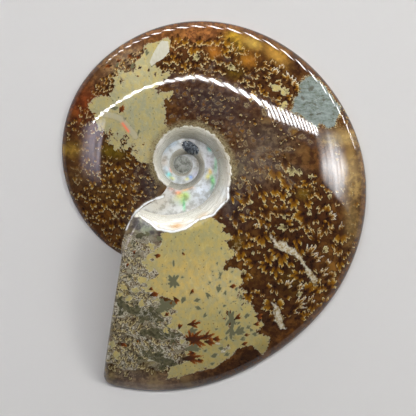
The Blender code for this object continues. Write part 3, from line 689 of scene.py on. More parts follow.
# soft dark bodies behind them, and clear windows left between: x, y, reach along and across, direction, depth
BODIES = (
    (96, -90, 16, 9, 0, 0.8), (112, -32, 8, 6, 0, 0.7), (92, -22, 10, 6, 0, 0.5), (74, -18, 8, 6, 0, 0.4),
    (106, -48, 14, 6, 30, 0.6), (88, -54, 10, 6, 0, 0.5), (130, -76, 8, 12, 0, 0.6), (104, -140, 10, 7, 0, 0.8),
    (66, -124, 8, 8, 0, 0.7), (138, -104, 8, 6, 30, 0.7), (120, -58, 6, 12, 0, 0.5), (142, -24, 10, 12, 0, 0.7),
    (94, -134, 8, 6, 0, 0.9), (80, -142, 12, 6, 10, 0.9), (-60, 4, 20, 8, 0, 0.5), (-40, -8, 14, 12, 0, 0.5),
    (-66, -26, 14, 10, 0, 0.5), (-46, -40, 12, 10, 0, 0.5), (-90, -45, 8, 12, 0, 0.4), (100, 84, 16, 10, 120, 0.9),
    (118, 70, 8, 14, 30, 0.9), (84, 84, 10, 8, 0, 0.6), (56, 92, 14, 5, 170, 0.5), (28, 84, 30, 5, 175, 0.5),
    (30, 66, 40, 12, 170, 0.35), (-10, 98, 12, 6, 10, 0.5), (60, 108, 8, 4, 0, 0.4), (-70, 78, 30, 6, 48, 0.4),
)


def lobes_of(x, y, heading, length, count, make, rng):
    """The lobes of one leaf: rows of root x, y, tip x, y, half width at root and tip, place along the leaf at the
    root and at the tip."""
    turn = math.radians(heading)
    c, s = math.cos(turn), math.sin(turn)
    slim = {3: 0.62, 9: 1.0}.get(make, 0.9)
    rows = []
    spread = {1: 0.0, 2: 0.34, 3: 0.50, 4: 0.62, 5: 0.72}[count] * (0.75 if make == 3 else 1.0)
    for k in range(count):
        side = 0.0 if count == 1 else 2.0 * k / (count - 1) - 1.0
        if count == 1:
            side = rng.uniform(-0.2, 0.2)
        angle = side * spread + rng.uniform(-0.12, 0.12)
        reach = length * (0.62 - 0.10 * abs(side) ** 1.4) * rng.uniform(0.84, 1.12)
        root = -length * 0.44 + length * 0.14 * (1.0 - abs(side)) * (1.0 if count > 2 else 0.4)
        tip_x, tip_y = root + math.cos(angle) * (reach + length * 0.14), math.sin(angle) * (reach + length * 0.14)
        wide = min(length * (0.115 if count > 3 else 0.14 if count == 3 else 0.16), 1.35) * slim * rng.uniform(0.85, 1.15)
        rows.append((root, 0.0, tip_x, tip_y, wide * 0.75, wide, 0.1, 1.0))
        if make != 3:
            # buds along the sides of each lobe and two at its end
            places = (0.72,) if reach < 5.5 else (0.42, 0.76) if reach < 9.0 else (0.30, 0.52, 0.78)
            for place in places:
                for bud in (-0.46, 0.46):
                    a = angle + bud * rng.uniform(0.8, 1.2)
                    fx, fy = root + math.cos(angle) * reach * place, math.sin(angle) * reach * place
                    size = min(reach * 0.34, 3.0) * rng.uniform(0.8, 1.2)
                    rows.append((fx, fy, fx + math.cos(a) * size, fy + math.sin(a) * size,
                                 wide * 0.5, wide * 0.56, place * 0.7, min(1.0, place + 0.26)))
    # the stem
    rows.append((-length * 0.62, rng.uniform(-0.1, 0.1) * length, -length * 0.1, 0.0, length * 0.07, length * 0.13, 0.0, 0.3))
    out = []
    for x0, y0, x1, y1, w0, w1, h0, h1 in rows:
        out.append((x + x0 * c - y0 * s, y + x0 * s + y0 * c, x + x1 * c - y1 * s, y + x1 * s + y1 * c, w0, w1, h0, h1))
    return out


def strew(placed, rng):
    """More leaves, kept clear of the placed ones."""
    taken = [(l[0], l[1], l[3] * 0.46) for l in placed]
    extra = []
    for x, y, a, b, turn, density, heading, length in STREWN:
        c, s = math.cos(math.radians(turn)), math.sin(math.radians(turn))
        wanted = int(density * 4.0 * a * b * SQUARE ** 2 / 100.0)
        for _ in range(wanted * 3):
            if wanted <= 0:
                break
            u, v = rng.uniform(-1, 1), rng.uniform(-1, 1)
            if u * u + v * v > 1.0:
                continue
            px, py = x + u * a * c - v * b * s, y + u * a * s + v * b * c
            size = length * rng.uniform(0.7, 1.2)
            if all((px - tx) ** 2 + (py - ty) ** 2 > (tr + size * (0.22 if length > 10.0 else 0.30)) ** 2 for tx, ty, tr in taken):
                turned = heading + rng.gauss(0.0, 24.0) + (160.0 if rng.random() < 0.12 else 0.0)
                lobes = rng.choice((3, 4, 5) if length > 10.0 else (2, 3, 3))
                extra.append((px, py, turned, size, lobes, rng.choice((0, 0, 0, 1))))
                taken.append((px, py, size * (0.30 if length > 10.0 else 0.38)))
                wanted -= 1
    return extra


def hang(rng):
    """The lobes of the garlands, as leaves of one or two lobes."""
    out = []
    for line, heading, length, apart, make in [row + (4,) for row in GARLANDS] + [row + (5,) for row in FRILLS]:
        c = np.array(line, float)
        along_line = np.concatenate([[0.0], np.cumsum(np.hypot(*np.diff(c, axis=0).T))])
        for k in range(max(2, int(along_line[-1] / apart))):
            at = (k + 0.5 + rng.uniform(-0.3, 0.3)) * apart
            x, y = np.interp(at, along_line, c[:, 0]), np.interp(at, along_line, c[:, 1])
            loose = 2.6 if make == 5 else 0.6
            out.append((x + rng.gauss(0.0, loose * 0.6), y + rng.gauss(0.0, loose), heading + rng.gauss(0.0, 13.0 * loose ** 0.7),
                        length * rng.uniform(0.7, 1.3), rng.choice((1, 2, 2, 3)), make))
    return out


class Layout:
    """The points laid out on squares and sorted into blocks, so that each leaf only looks at the points near it."""
    BLOCK = 8.0

    def __init__(self, p):
        self.q = p / SQUARE
        ij = np.floor(self.q / self.BLOCK).astype(int)
        key = ij[:, 0] * 1000 + ij[:, 1]
        self.order = np.argsort(key, kind="stable")
        self.sorted = key[self.order]

    def nearby(self, x, y, reach):
        low, high = int(math.floor((y - reach) / self.BLOCK)), int(math.floor((y + reach) / self.BLOCK))
        picked = []
        for i in range(int(math.floor((x - reach) / self.BLOCK)), int(math.floor((x + reach) / self.BLOCK)) + 1):
            a = np.searchsorted(self.sorted, i * 1000 + low)
            b = np.searchsorted(self.sorted, i * 1000 + high, side="right")
            picked.append(self.order[a:b])
        return np.concatenate(picked)

    def leaf(self, x, y, heading, length, count, make, rng):
        """The points near one leaf, their distances in millimetres (positive inside) and places along it."""
        near = self.nearby(x, y, length + 4.0)
        here = self.q[near]
        best = np.full(len(near), -1.6 / SQUARE)
        glow = np.zeros(len(near))
        for x0, y0, x1, y1, w0, w1, h0, h1 in lobes_of(x, y, heading, length, count, make, rng):
            e = np.array([x1 - x0, y1 - y0])
            w = here - np.array([x0, y0])
            h = np.clip((w @ e) / (e @ e), 0.0, 1.0)
            wide = (w0 + (w1 - w0) * smooth(h / 0.5)) * (1.0 - (0.45 if make == 9 else 0.72) * smooth((h - 0.5) / 0.5))
            d = wide - np.hypot(w[:, 0] - h * e[0], w[:, 1] - h * e[1])
            more = d > best
            best = np.where(more, d, best)
            glow = np.where(more, h0 + (h1 - h0) * h, glow)
        return near, best * SQUARE, glow

    def leaves(self, table, seed, make=0):
        """Distance to a table of leaves (x, y, heading, length, lobes), and the place along the nearest of them."""
        rng = random.Random(seed)
        field, glow = np.full(len(self.q), -1.6), np.zeros(len(self.q))
        for x, y, heading, length, count in table:
            near, d, g = self.leaf(x, y, heading, length, count, make, rng)
            wins = d > field[near]
            field[near[wins]] = d[wins]
            glow[near[wins]] = g[wins]
        return field, glow


def leaf_fields(layout):
    """Per point: leaf (mm, positive inside a lobe), heat (0 root, 1 tip), rim (strength of the pale rim), khaki
    (1 on the pale leaves, 2 on the olive ones), body (0-1, soft dark behind the stems)."""
    rng = random.Random(11)
    placed = list(LEFT_LEAVES + RIGHT_LEAVES + TOP_LEAVES)
    placed += strew(placed, rng)
    placed += hang(rng)
    q = layout.q
    leaf = np.full(len(q), -1.6)
    heat, rim, khaki, body = np.zeros(len(q)), np.zeros(len(q)), np.zeros(len(q)), np.zeros(len(q))
    for x, y, heading, length, count, make in placed:
        near, d, glow = layout.leaf(x, y, heading, length, count, make, rng)
        wins = d > leaf[near]
        target, g = near[wins], glow[wins]
        leaf[target] = d[wins]
        heat[target] = g * {1: 0.72, 4: 0.86}.get(make, 1.0)
        start, full = {0: (0.72, 1.0), 1: (0.5, 0.9), 2: (0.0, 0.1), 3: (0.35, 0.75), 4: (0.6, 0.95), 5: (0.15, 0.5)}[make]
        rim[target] = np.clip((g - start) / (full - start), 0.0, 1.0) * (1.35 if make == 3 else 1.0)
        khaki[target] = {2: 1.0, 5: 2.0}.get(make, 0.0)
        c, s = math.cos(math.radians(heading)), math.sin(math.radians(heading))
        dx, dy = q[near, 0] - (x - length * 0.45 * c), q[near, 1] - (y - length * 0.45 * s)
        soft = np.exp(-(dx * dx + dy * dy) / (0.58 * length) ** 2 * 0.9) * (0.3 if make in (2, 5) else 0.85)
        body[near] = np.maximum(body[near], soft)
    for x, y, a, b, turn, depth in BODIES:
        body = np.maximum(body, depth * bell(q, x, y, a, b, turn))
    return {"leaf": leaf, "warmth": heat, "rim": rim, "khaki": khaki, "body": body}


# the same squares: leaves of tan fill standing off the patches, and dark leaves that bite into them
TAN_LEAVES = (
    (-66, 27, 262, 20, 3), (-70, 23, 205, 9, 3), (-62, 22, 325, 9, 3), (-66, 17, 262, 8, 3), (-70, 28, 165, 7, 3),
    (-76, 35, 262, 11, 3), (-73, 38, 300, 8, 3), (-54, 21, 250, 11, 3), (-57, 17, 240, 8, 3), (-51, 22, 330, 6, 3),
    (-42, 10, 200, 12, 4), (-40, 6, 280, 10, 4), (-44, 14, 160, 9, 3), (-36, 12, 20, 9, 3), (-90, 62, 175, 9, 3),
    (-86, 57, 200, 9, 3), (-84, 66, 140, 8, 3), (-80, 52, 215, 8, 3), (-62, 92, 130, 8, 3), (-50, 94, 110, 8, 3),
    (-40, 100, 120, 8, 3), (-36, 108, 130, 8, 3), (-24, 92, 20, 10, 4), (-16, 90, 350, 9, 3), (-14, 70, 20, 9, 3),
    (-20, 44, 350, 7, 3), (-36, 120, 95, 6, 3), (-44, 104, 200, 7, 3), (-66, 86, 160, 7, 3), (-30, 100, 60, 7, 3),
    (96, 76, 20, 7, 4), (102, 72, 300, 6, 3), (92, 79, 150, 6, 3), (104, 60, 0, 6, 3), (100, 56, 240, 5, 3),
    (38, -64, 20, 9, 3), (46, -74, 5, 9, 3), (40, -92, 330, 9, 3), (50, -90, 20, 9, 3), (42, -104, 350, 9, 3),
    (54, -108, 350, 9, 3), (58, -118, 340, 8, 3), (60, -128, 10, 9, 3), (56, -138, 350, 9, 3), (68, -142, 350, 10, 3),
    (72, -152, 20, 9, 3), (78, -160, 350, 9, 3), (74, -168, 340, 9, 3), (70, -176, 350, 9, 3), (76, -184, 300, 9, 3),
    (84, -180, 330, 14, 4), (60, -182, 250, 9, 3), (44, -194, 260, 9, 3), (28, -200, 250, 9, 3), (10, -206, 215, 12, 3),
    (-4, -212, 200, 12, 3), (-16, -150, 160, 8, 3), (-24, -136, 190, 8, 3), (-34, -124, 170, 9, 3),
    (-40, -116, 200, 9, 3), (-32, -104, 190, 9, 3), (-36, -98, 170, 8, 3), (-26, -88, 150, 9, 3), (-30, -82, 190, 8, 3),
    (-18, -74, 160, 8, 3), (-8, -158, 230, 9, 3), (2, -164, 250, 8, 3), (-2, -60, 90, 6, 3), (-52, -134, 200, 7, 3),
    (-62, -130, 190, 6, 3), (-46, -126, 160, 7, 3), (-40, -140, 260, 6, 3), (-58, -122, 140, 6, 3),
    (0, -178, 200, 6, 2), (6, -190, 160, 7, 3), (-16, -166, 300, 6, 3), (-70, -182, 250, 8, 3), (-66, -192, 100, 7, 3),
)
TAN_BITES = (
    (-26, 74, 185, 17, 2), (-18, 61, 180, 12, 2), (-17, 48, 182, 7, 2), (-18, 42, 178, 8, 2), (-15, 54, 170, 6, 3),
    (-33, 97, 70, 6, 1), (-73, 32, 78, 13, 3), (-81, 34, 100, 9, 3), (-59, 25, 78, 13, 4), (-64, 30, 60, 6, 2),
    (-49, 20, 32, 8, 3), (-47, 12, 200, 7, 3), (-22, 96, 225, 9, 3), (-28, 90, 240, 6, 2), (-86, 72, 300, 7, 3),
    (-74, 70, 330, 7, 3), (-70, 78, 320, 7, 3), (-60, 84, 300, 8, 3), (-48, 90, 290, 6, 3), (-42, 96, 300, 7, 3),
    (-92, 62, 350, 5, 3), (-88, 52, 20, 5, 2), (49, -80, 185, 11, 3), (46, -84, 200, 7, 3), (48, -99, 188, 13, 4),
    (44, -104, 215, 8, 3), (40, -66, 200, 8, 3), (54, -70, 190, 7, 2), (57, -104, 200, 8, 3), (58, -90, 180, 6, 2),
    (60, -124, 190, 7, 3), (57, -133, 262, 10, 2), (62, -139, 240, 8, 3), (76, -141, 185, 15, 4), (70, -138, 200, 8, 3),
    (76, -150, 200, 12, 2), (80, -158, 184, 16, 3), (78, -168, 180, 11, 4), (84, -172, 200, 9, 3), (88, -180, 200, 9, 3),
    (62, -194, 150, 16, 4), (56, -190, 120, 9, 3), (40, -202, 140, 9, 3), (24, -208, 110, 9, 3), (6, -214, 80, 9, 3),
    (-34, -110, 20, 7, 3), (-36, -92, 10, 6, 3), (-28, -96, 350, 6, 3), (-24, -130, 10, 8, 3), (-40, -130, 20, 8, 3),
    (-20, -160, 20, 8, 3), (-6, -166, 60, 9, 3), (4, -172, 40, 8, 3), (-26, -146, 0, 8, 3), (-22, -80, 330, 6, 3),
    (-30, -76, 320, 6, 3), (-44, -120, 330, 6, 2), (48, -158, 90, 9, 2), (47, -148, 90, 9, 2), (49, -168, 270, 10, 2),
    (50, -176, 300, 8, 3), (42, -188, 20, 7, 3), (34, -192, 170, 6, 3), (38, -182, 340, 7, 3), (48, -184, 30, 7, 3),
)
GREEN_LEAVES = (
    (-6, -113, 62, 10, 2), (-12, -118, 175, 10, 2), (-5, -121, 300, 10, 2), (-10, -121, 245, 8, 1),
    (-11, -113, 122, 8, 1), (1, -113, 40, 4, 2),
    (37, -124, 80, 7, 3), (37, -125, 260, 6, 3), (27, -132, 312, 7, 2), (2, -135, 60, 7, 3), (16, -136, 10, 6, 3),
    (16, -144, 160, 6, 3), (24, -151, 45, 6, 2), (-14, -142, 342, 12, 4), (-20, -136, 130, 7, 3), (-7, -139, 60, 7, 3),
    (-20, -145, 205, 10, 3), (14, -184, 8, 14, 4), (8, -186, 170, 9, 3), (11, -167, 22, 9, 3), (59, -168, 15, 11, 4),
    (57, -169, 190, 8, 3), (35, -99, 95, 4, 2), (31, -107, 70, 3, 2), (39, -109, 80, 5, 2), (38, -114, 262, 5, 2),
    (34, -116, 200, 3, 2), (49, -150, 88, 12, 2), (50, -160, 270, 14, 3), (49, -170, 265, 12, 3), (67, -164, 30, 5, 3),
    (28, -118, 80, 4, 2), (43, -130, 250, 5, 2), (66, -152, 20, 6, 3), (74, -172, 340, 6, 3), (-68, 57, 10, 7, 3),
    (-44, 32, 75, 6, 1), (-76, 26, 60, 3, 2), (-58, 46, 80, 5, 2), (-30, 102, 80, 6, 3), (-36, 114, 85, 6, 3),
    (-50, 100, 60, 6, 3), (-66, 102, 70, 5, 3), (-64, 68, 80, 3, 2), (33, -193, 20, 7, 3), (40, -186, 350, 6, 3),
    (46, -192, 20, 6, 3), (30, -202, 200, 5, 3), (-34, -70, 300, 7, 3), (-22, -76, 290, 9, 2), (62, -176, 20, 6, 3),
    (18, -157, 20, 4, 2), (2, -86, 10, 4, 2), (-8, -98, 88, 7, 1), (40, -84, 60, 4, 2), (48, -118, 210, 4, 2),
    (54, -126, 240, 5, 2), (52, -138, 200, 4, 1), (59, -134, 260, 5, 2), (60, -146, 300, 4, 1), (64, -154, 220, 5, 2),
    (42, -142, 190, 4, 2), (44, -156, 250, 4, 1), (38, -148, 80, 4, 2), (56, -160, 200, 5, 2), (70, -168, 300, 5, 2),
    (52, -178, 180, 4, 1), (44, -176, 240, 5, 2), (34, -166, 200, 4, 2), (30, -176, 170, 5, 2), (24, -188, 10, 5, 2),
    (20, -174, 30, 4, 1), (46, -98, 250, 4, 1), (50, -108, 230, 4, 2), (42, -90, 200, 3, 1),
)
RUST_LEAVES = (
    (20, -176, 356, 24, 5), (28, -172, 22, 14, 3), (30, -180, 340, 12, 3), (12, -173, 120, 9, 3), (10, -180, 220, 8, 3),
    (14, -160, 8, 13, 3), (8, -172, 100, 12, 3), (36, -176, 0, 9, 3),
    (-1, -161, 62, 8, 2), (14, -196, 352, 20, 4), (8, -191, 190, 9, 3), (20, -199, 335, 8, 2), (-4, -138, 312, 11, 2),
    (-26, -130, 8, 10, 3), (-29, -124, 20, 7, 2), (-14, -150, 32, 6, 3), (52, -122, 18, 8, 3), (45, -115, 0, 4, 2),
    (5, -79, 88, 4, 1), (2, -91, 300, 6, 2), (-15, -82, 80, 4, 2), (-23, -92, 340, 8, 3), (12, -127, 32, 8, 2),
    (58, -153, 28, 10, 2), (43, -155, 0, 4, 2), (66, -172, 10, 6, 3), (64, -181, 20, 7, 3), (27, -72, 88, 3, 1),
    (-61, 57, 70, 9, 3), (-60, 54, 300, 6, 3), (-44, 89, 0, 4, 2), (-38, 20, 10, 4, 2), (-31, 14, 0, 4, 2),
    (-76, 100, 200, 7, 3), (-64, 106, 40, 6, 3), (-54, 110, 220, 7, 3), (-45, 108, 240, 6, 3), (-37, 118, 60, 4, 2),
    (80, -153, 2, 11, 2), (77, -161, 8, 8, 2), (-33, -86, 90, 3, 1), (-47, -87, 80, 6, 2), (-54, -100, 80, 6, 2),
    (-58, -182, 330, 8, 3), (-44, -178, 20, 4, 2), (32, -160, 0, 3, 2),
)
CHAMBERS = (
    (-30, -146, 20, 12, 3), (-20, -148, 340, 10, 3), (-46, -143, 110, 8, 3), (-24, -158, 320, 8, 3), (-40, -156, 240, 7, 3),
    (-14, -164, 60, 10, 3), (-4, -172, 350, 10, 3), (-30, -163, 110, 8, 3), (-8, -179, 280, 8, 3), (-40, -170, 180, 8, 3),
    (-32, -186, 100, 8, 3), (-22, -190, 60, 8, 3), (-10, -200, 20, 10, 3), (-20, -206, 280, 8, 3), (-40, -194, 200, 8, 3),
    (-2, -206, 350, 12, 3), (-62, -134, 100, 7, 3), (-54, -140, 20, 6, 3), (-48, -80, 100, 7, 3), (-40, -72, 0, 9, 3),
    (-52, -112, 60, 5, 2), (-44, -104, 30, 5, 2), (-14, -148, 10, 8, 3),
)
CHAMBER_BANDS = (
    ((-52, -145, 1.0), (-42, -149, 2.0), (-32, -152, 2.1), (-20, -156, 0.9)), ((-38, -168, 1.0), (-24, -170, 2.0), (-8, -172, 1.6)),
    ((-38, -190, 1.0), (-26, -195, 1.6), (-12, -201, 1.3), (-2, -204, 0.8)), ((-62, -137, 1.2), (-57, -143, 1.6), (-61, -149, 0.9)),
)
SCAR = ((-14, 125), (-13, 114), (-19, 107), (-26, 103), (-31, 99), (-33, 103), (-30, 111), (-26, 119), (-21, 126))
CRACK_BAND = ((-79, 51), (-70, 49), (-62, 46), (-54, 37), (-47, 28))
FLASH = ((-60, 41), (-57, 37), (-54, 33))




def paint(points, growths, spans):
    """Fields of every point for the material, by name: numbers, or rows of three or four."""
    p = points[:, :2]
    r = np.hypot(p[:, 0], p[:, 1])
    t = np.degrees(growths)
    out = {"chart": np.stack([growths * 30.0, spans * 30.0, np.zeros(len(p))], axis=1)}

    layout = Layout(p)
    out.update(leaf_fields(layout))
    tan = np.maximum(polygon_field(p, TAN_UPPER), polygon_field(p, TAN_LOWER))
    tan = np.maximum(tan, layout.leaves(TAN_LEAVES, 21, 9)[0])
    tan = np.minimum(tan, -layout.leaves(TAN_BITES, 22)[0])
    out["tan"] = np.clip(tan, -6, 6)
    out["green"] = layout.leaves(GREEN_LEAVES, 23, 9)[0]
    out["rust"], out["rust_heat"] = layout.leaves(RUST_LEAVES, 24)
    bands = np.max([band_field(p, band, SQUARE) for band in CHAMBER_BANDS], axis=0)
    out["chambers"] = np.clip(np.maximum(layout.leaves(CHAMBERS, 25, 9)[0], bands), -6, 6)
    out["scar"] = np.clip(polygon_field(layout.q, SCAR) * SQUARE, -6, 6)
    out["crack_band"] = np.clip(line_field(layout.q, CRACK_BAND, 3.0) * SQUARE, -6, 6)
    out["flash"] = np.clip(line_field(layout.q, FLASH, 2.0) * SQUARE, -6, 6)
    out["crust"] = np.clip(polygon_field(p, CRUST), -6, 6)
    out["crust_pits"] = np.clip(ovals_field(p, CRUST_PITS), -6, 6)
    out["veins"] = np.clip(np.maximum(band_field(p, VEIN_RIGHT, SQUARE), band_field(p, VEIN_LOWER, SQUARE)), -6, 6)
    out["crowded"] = np.clip(np.where(t > 200, polygon_field(p, CROWDED), -12), -12, 12)

    clear = np.ones(len(p))
    for x, y, a, b, turn, level in HAZES:
        w = bell(p, x, y, a, b, turn)
        clear = clear * (1 - w) + level * w
    out["clear"] = clear

    def tinted(base, tints):
        colour = np.repeat(np.array([base]), len(p), axis=0)
        for x, y, a, b, turn, tint, strength in tints:
            w = strength * bell(p, x, y, a, b, turn)[:, None]
            colour = colour * (1 - w) + np.array([tint]) * w
        return np.concatenate([colour, np.ones((len(p), 1))], axis=1)

    # the stone's ground colour, with patches of painted sheen and painted highlight among its tones
    out["ground"] = tinted(DEEP, TONES_AND_SHEENS)
    out["tan_tone"] = tinted(TAN, TAN_TINTS)
    out["pearl"] = tinted(PEARL, PEARL_TINTS)
    out["wall_tone"] = tinted(WALL, WALL_TINTS_AND_HIGHLIGHT)
    out["pit"] = oval(p, *PIT) * 2.3
    out["core"] = 3.6 - np.hypot(p[:, 0], p[:, 1] - 0.2)
    out["white_edge_and_highlight"] = np.clip(np.maximum(line_field(p, WHITE_EDGES_AND_HIGHLIGHTS[0], 0.0), line_field(p, WHITE_EDGES_AND_HIGHLIGHTS[1], 0.0)), -12, 12)
    dotted = np.zeros(len(p))
    for x, y, a, b, turn, level in DOTTED:
        dotted = np.maximum(dotted, level * bell(p, x, y, a, b, turn))
    out["dotted"] = dotted
    out["wall"] = np.clip(np.where(spans < 0, spans * r * -1.0, -spans * r), -6, 6)
    out["early"] = np.clip(mouth_lean(r) - t, -40, 400)
    eye = np.maximum(out["wall"], np.clip(out["early"], -6, 6))
    out["eye"] = np.where(r < 40, np.minimum(eye, np.clip(polygon_field(p, EYE_OUTLINE) + 0.25, -6, 6)), eye)
    out["halo"] = np.clip(0.5 + (p[:, 1] + 9.0 - 0.12 * np.abs(p[:, 0])) / 10.0, 0, 1) * (r > 8)
    return out


def store(mesh, fields):
    for name, values in fields.items():
        width = 1 if values.ndim == 1 else values.shape[1]
        kind = {1: ("FLOAT", "value"), 3: ("FLOAT_VECTOR", "vector"), 4: ("FLOAT_COLOR", "color")}[width]
        layer = mesh.attributes.new(name, kind[0], "POINT")
        layer.data.foreach_set(kind[1], np.ascontiguousarray(values, dtype=np.float32).reshape(-1))


# --- a small language for material nodes ---------------------------------------------------------------------
class Sheet:
    """Writes expressions into a material as nodes. Values are sockets or plain numbers."""

    def __init__(self, owner):
        self.tree = owner.node_tree
        self.nodes, self.links = self.tree.nodes, self.tree.links

    def put(self, value, socket):
        if isinstance(value, Value):
            self.links.new(value.socket, socket)
        elif isinstance(value, (tuple, list)):
            socket.default_value = tuple(value) + ((1.0,) if len(value) == 3 and len(socket.default_value) == 4 else ())
        else:
            try:
                socket.default_value = value
            except TypeError:
                socket.default_value = (value,) * len(socket.default_value)

    def math(self, operation, *args, clamp=False):
        node = self.nodes.new("ShaderNodeMath")
        node.operation, node.use_clamp = operation, clamp
        for i, a in enumerate(args):
            self.put(a, node.inputs[i])
        return Value(self, node.outputs[0])

    def vmath(self, operation, *args, scale=None, out=0):
        node = self.nodes.new("ShaderNodeVectorMath")
        node.operation = operation
        for i, a in enumerate(args):
            self.put(a, node.inputs[i])
        if scale is not None:
            self.put(scale, node.inputs["Scale"])
        return Value(self, node.outputs[out])

    def attribute(self, name, kind="Fac"):
        node = self.nodes.new("ShaderNodeAttribute")
        node.attribute_name = name
        return Value(self, node.outputs[kind])

    def place_mm(self):
        """Where the surface point is on the object, in millimetres."""
        node = self.nodes.new("ShaderNodeTexCoord")
        return self.vmath("SCALE", Value(self, node.outputs["Object"]), scale=1000.0)

    def bump(self, height, distance, strength=1.0):
        node = self.nodes.new("ShaderNodeBump")
        node.inputs["Strength"].default_value = strength
        node.inputs["Distance"].default_value = distance
        self.put(height, node.inputs["Height"])
        return Value(self, node.outputs[0])

    def split(self, vector):
        node = self.nodes.new("ShaderNodeSeparateXYZ")
        self.put(vector, node.inputs[0])
        return tuple(Value(self, node.outputs[i]) for i in range(3))

    def join(self, x, y, z=0.0):
        node = self.nodes.new("ShaderNodeCombineXYZ")
        for i, a in enumerate((x, y, z)):
            self.put(a, node.inputs[i])
        return Value(self, node.outputs[0])

    def noise(self, vector, scale, detail=2.0, rough=0.5, colour=False, distortion=0.0):
        node = self.nodes.new("ShaderNodeTexNoise")
        self.put(vector, node.inputs["Vector"])
        node.inputs["Scale"].default_value = scale
        node.inputs["Detail"].default_value = detail
        node.inputs["Roughness"].default_value = rough
        node.inputs["Distortion"].default_value = distortion
        return Value(self, node.outputs["Color" if colour else "Fac"])

    def cells(self, vector, scale, feature="F1", smoothness=0.3, jitter=1.0, out="Distance", metric="EUCLIDEAN"):
        node = self.nodes.new("ShaderNodeTexVoronoi")
        node.voronoi_dimensions = "2D"
        node.feature = feature
        if feature in ("F1", "SMOOTH_F1"):
            node.distance = metric
        self.put(vector, node.inputs["Vector"])
        self.put(scale, node.inputs["Scale"])
        node.inputs["Randomness"].default_value = jitter
        if feature == "SMOOTH_F1":
            node.inputs["Smoothness"].default_value = smoothness
        return Value(self, node.outputs[out])

    def scatter(self, vector, jitter):
        """One random point in each square of the plane: the nearest one's place and three random numbers for it."""
        node = self.nodes.new("ShaderNodeTexVoronoi")
        node.voronoi_dimensions = "2D"
        self.put(vector, node.inputs["Vector"])
        node.inputs["Scale"].default_value = 1.0
        node.inputs["Randomness"].default_value = jitter
        return Value(self, node.outputs["Position"]), self.split(Value(self, node.outputs["Color"]))

    def ramp(self, x, stops, smooth=False):
        node = self.nodes.new("ShaderNodeValToRGB")
        self.put(x, node.inputs[0])
        elements = node.color_ramp.elements
        node.color_ramp.interpolation = "EASE" if smooth else "LINEAR"
        while len(elements) > 1:
            elements.remove(elements[-1])
        elements[0].position, elements[0].color = stops[0][0], tuple(stops[0][1]) + (1.0,)
        for position, colour in stops[1:]:
            element = elements.new(position)
            element.color = tuple(colour) + (1.0,)
        return Value(self, node.outputs[0])

    def mix(self, a, b, f):
        """Colours or numbers: a where f is 0, b where f is 1."""
        node = self.nodes.new("ShaderNodeMix")
        node.data_type = "RGBA"
        node.clamp_factor = True
        self.put(f, node.inputs[0])
        self.put(a, node.inputs[6])
        self.put(b, node.inputs[7])
        return Value(self, node.outputs[2])

    def step(self, x, low, high, a=0.0, b=1.0):
        """Smoothly from a at low to b at high."""
        node = self.nodes.new("ShaderNodeMapRange")
        node.interpolation_type = "SMOOTHSTEP"
        for i, v in enumerate((x, low, high, a, b)):
            self.put(v, node.inputs[i])
        return Value(self, node.outputs[0])


class Value:
    def __init__(self, sheet, socket):
        self.sheet, self.socket = sheet, socket

    def __add__(self, other): return self.sheet.math("ADD", self, other)
    def __radd__(self, other): return self.sheet.math("ADD", other, self)
    def __sub__(self, other): return self.sheet.math("SUBTRACT", self, other)
    def __rsub__(self, other): return self.sheet.math("SUBTRACT", other, self)
    def __mul__(self, other): return self.sheet.math("MULTIPLY", self, other)
    def __rmul__(self, other): return self.sheet.math("MULTIPLY", other, self)
    def __truediv__(self, other): return self.sheet.math("DIVIDE", self, other)
    def __neg__(self): return self.sheet.math("MULTIPLY", self, -1.0)
    def fract(self): return self.sheet.math("FRACT", self)
    def floor(self): return self.sheet.math("FLOOR", self)
    def abs(self): return self.sheet.math("ABSOLUTE", self)
    def sin(self): return self.sheet.math("SINE", self)
    def max(self, other): return self.sheet.math("MAXIMUM", self, other)
    def min(self, other): return self.sheet.math("MINIMUM", self, other)
    def clamp(self): return self.sheet.math("ADD", self, 0.0, clamp=True)
# --- the stone --------------------------------------------------------------------------------------------------
CREAM, WHITE = srgb(214, 200, 150), srgb(238, 236, 222)
STEM = srgb(50, 27, 14)
AMBER = tuple((x, srgb(*c)) for x, c in (
    (0.0, (66, 36, 14)), (0.25, (88, 50, 15)), (0.50, (114, 72, 15)), (0.72, (128, 86, 17)), (0.88, (150, 112, 32)),
    (1.0, (166, 136, 68))))


def frills(s, q, seed, spacing, sign, slopes=(1.25, 1.25, 1.0), sizes=(5.6, 2.3, 0.95)):
    """One family of ammonitic sutures across the chart q: returns how far each place lies behind its own line, 0 to 1
    (0 = the line itself, at the tips of the leaves; 1 = just ahead of the next one)."""
    u, v, _ = s.split(q)
    shift = u * sign
    for i, (slope, size) in enumerate(zip(slopes, sizes)):
        k = 1.0 / size
        cell = s.vmath("MULTIPLY", q, (k * 0.72, k, 0.0))
        cell = s.vmath("ADD", cell, (seed * 1.7 + i * 7.3, seed * 2.9 + i * 3.1, 0.0))
        shift = shift - s.cells(cell, 1.0) * (slope * size)
    lobes = (v * (2 * math.pi / 9.0) + seed).sin() * 1.4
    return ((shift + lobes) * (1.0 / spacing) + seed * 0.37).fract()


def ring_dots(s, q, cell, size, seed, share, jitter=0.8):
    """Small round lobes seen end on, one to a cell: distance inside their outline, and how deep that is (0 to 1)."""
    k = 1.0 / cell
    place = s.vmath("ADD", s.vmath("MULTIPLY", q, (k, k, 0.0)), (seed * 1.71, seed * 2.93, 0.0))
    point, (grow, lean, pick) = s.scatter(place, jitter)
    away = s.vmath("SCALE", s.vmath("SUBTRACT", place, point), scale=cell)
    dx, dy, _ = s.split(away)
    far = s.vmath("LENGTH", away, out=1)
    pinch = s.math("COSINE", s.math("ARCTAN2", dy, dx) * 3.0 + lean * 6.28)
    radius = (grow * 0.7 + 0.65) * size * (pinch * 0.12 + 1.0)
    here = s.math("GREATER_THAN", share, pick)
    return (radius - far) * here - (1.0 - here) * 2.0, lean


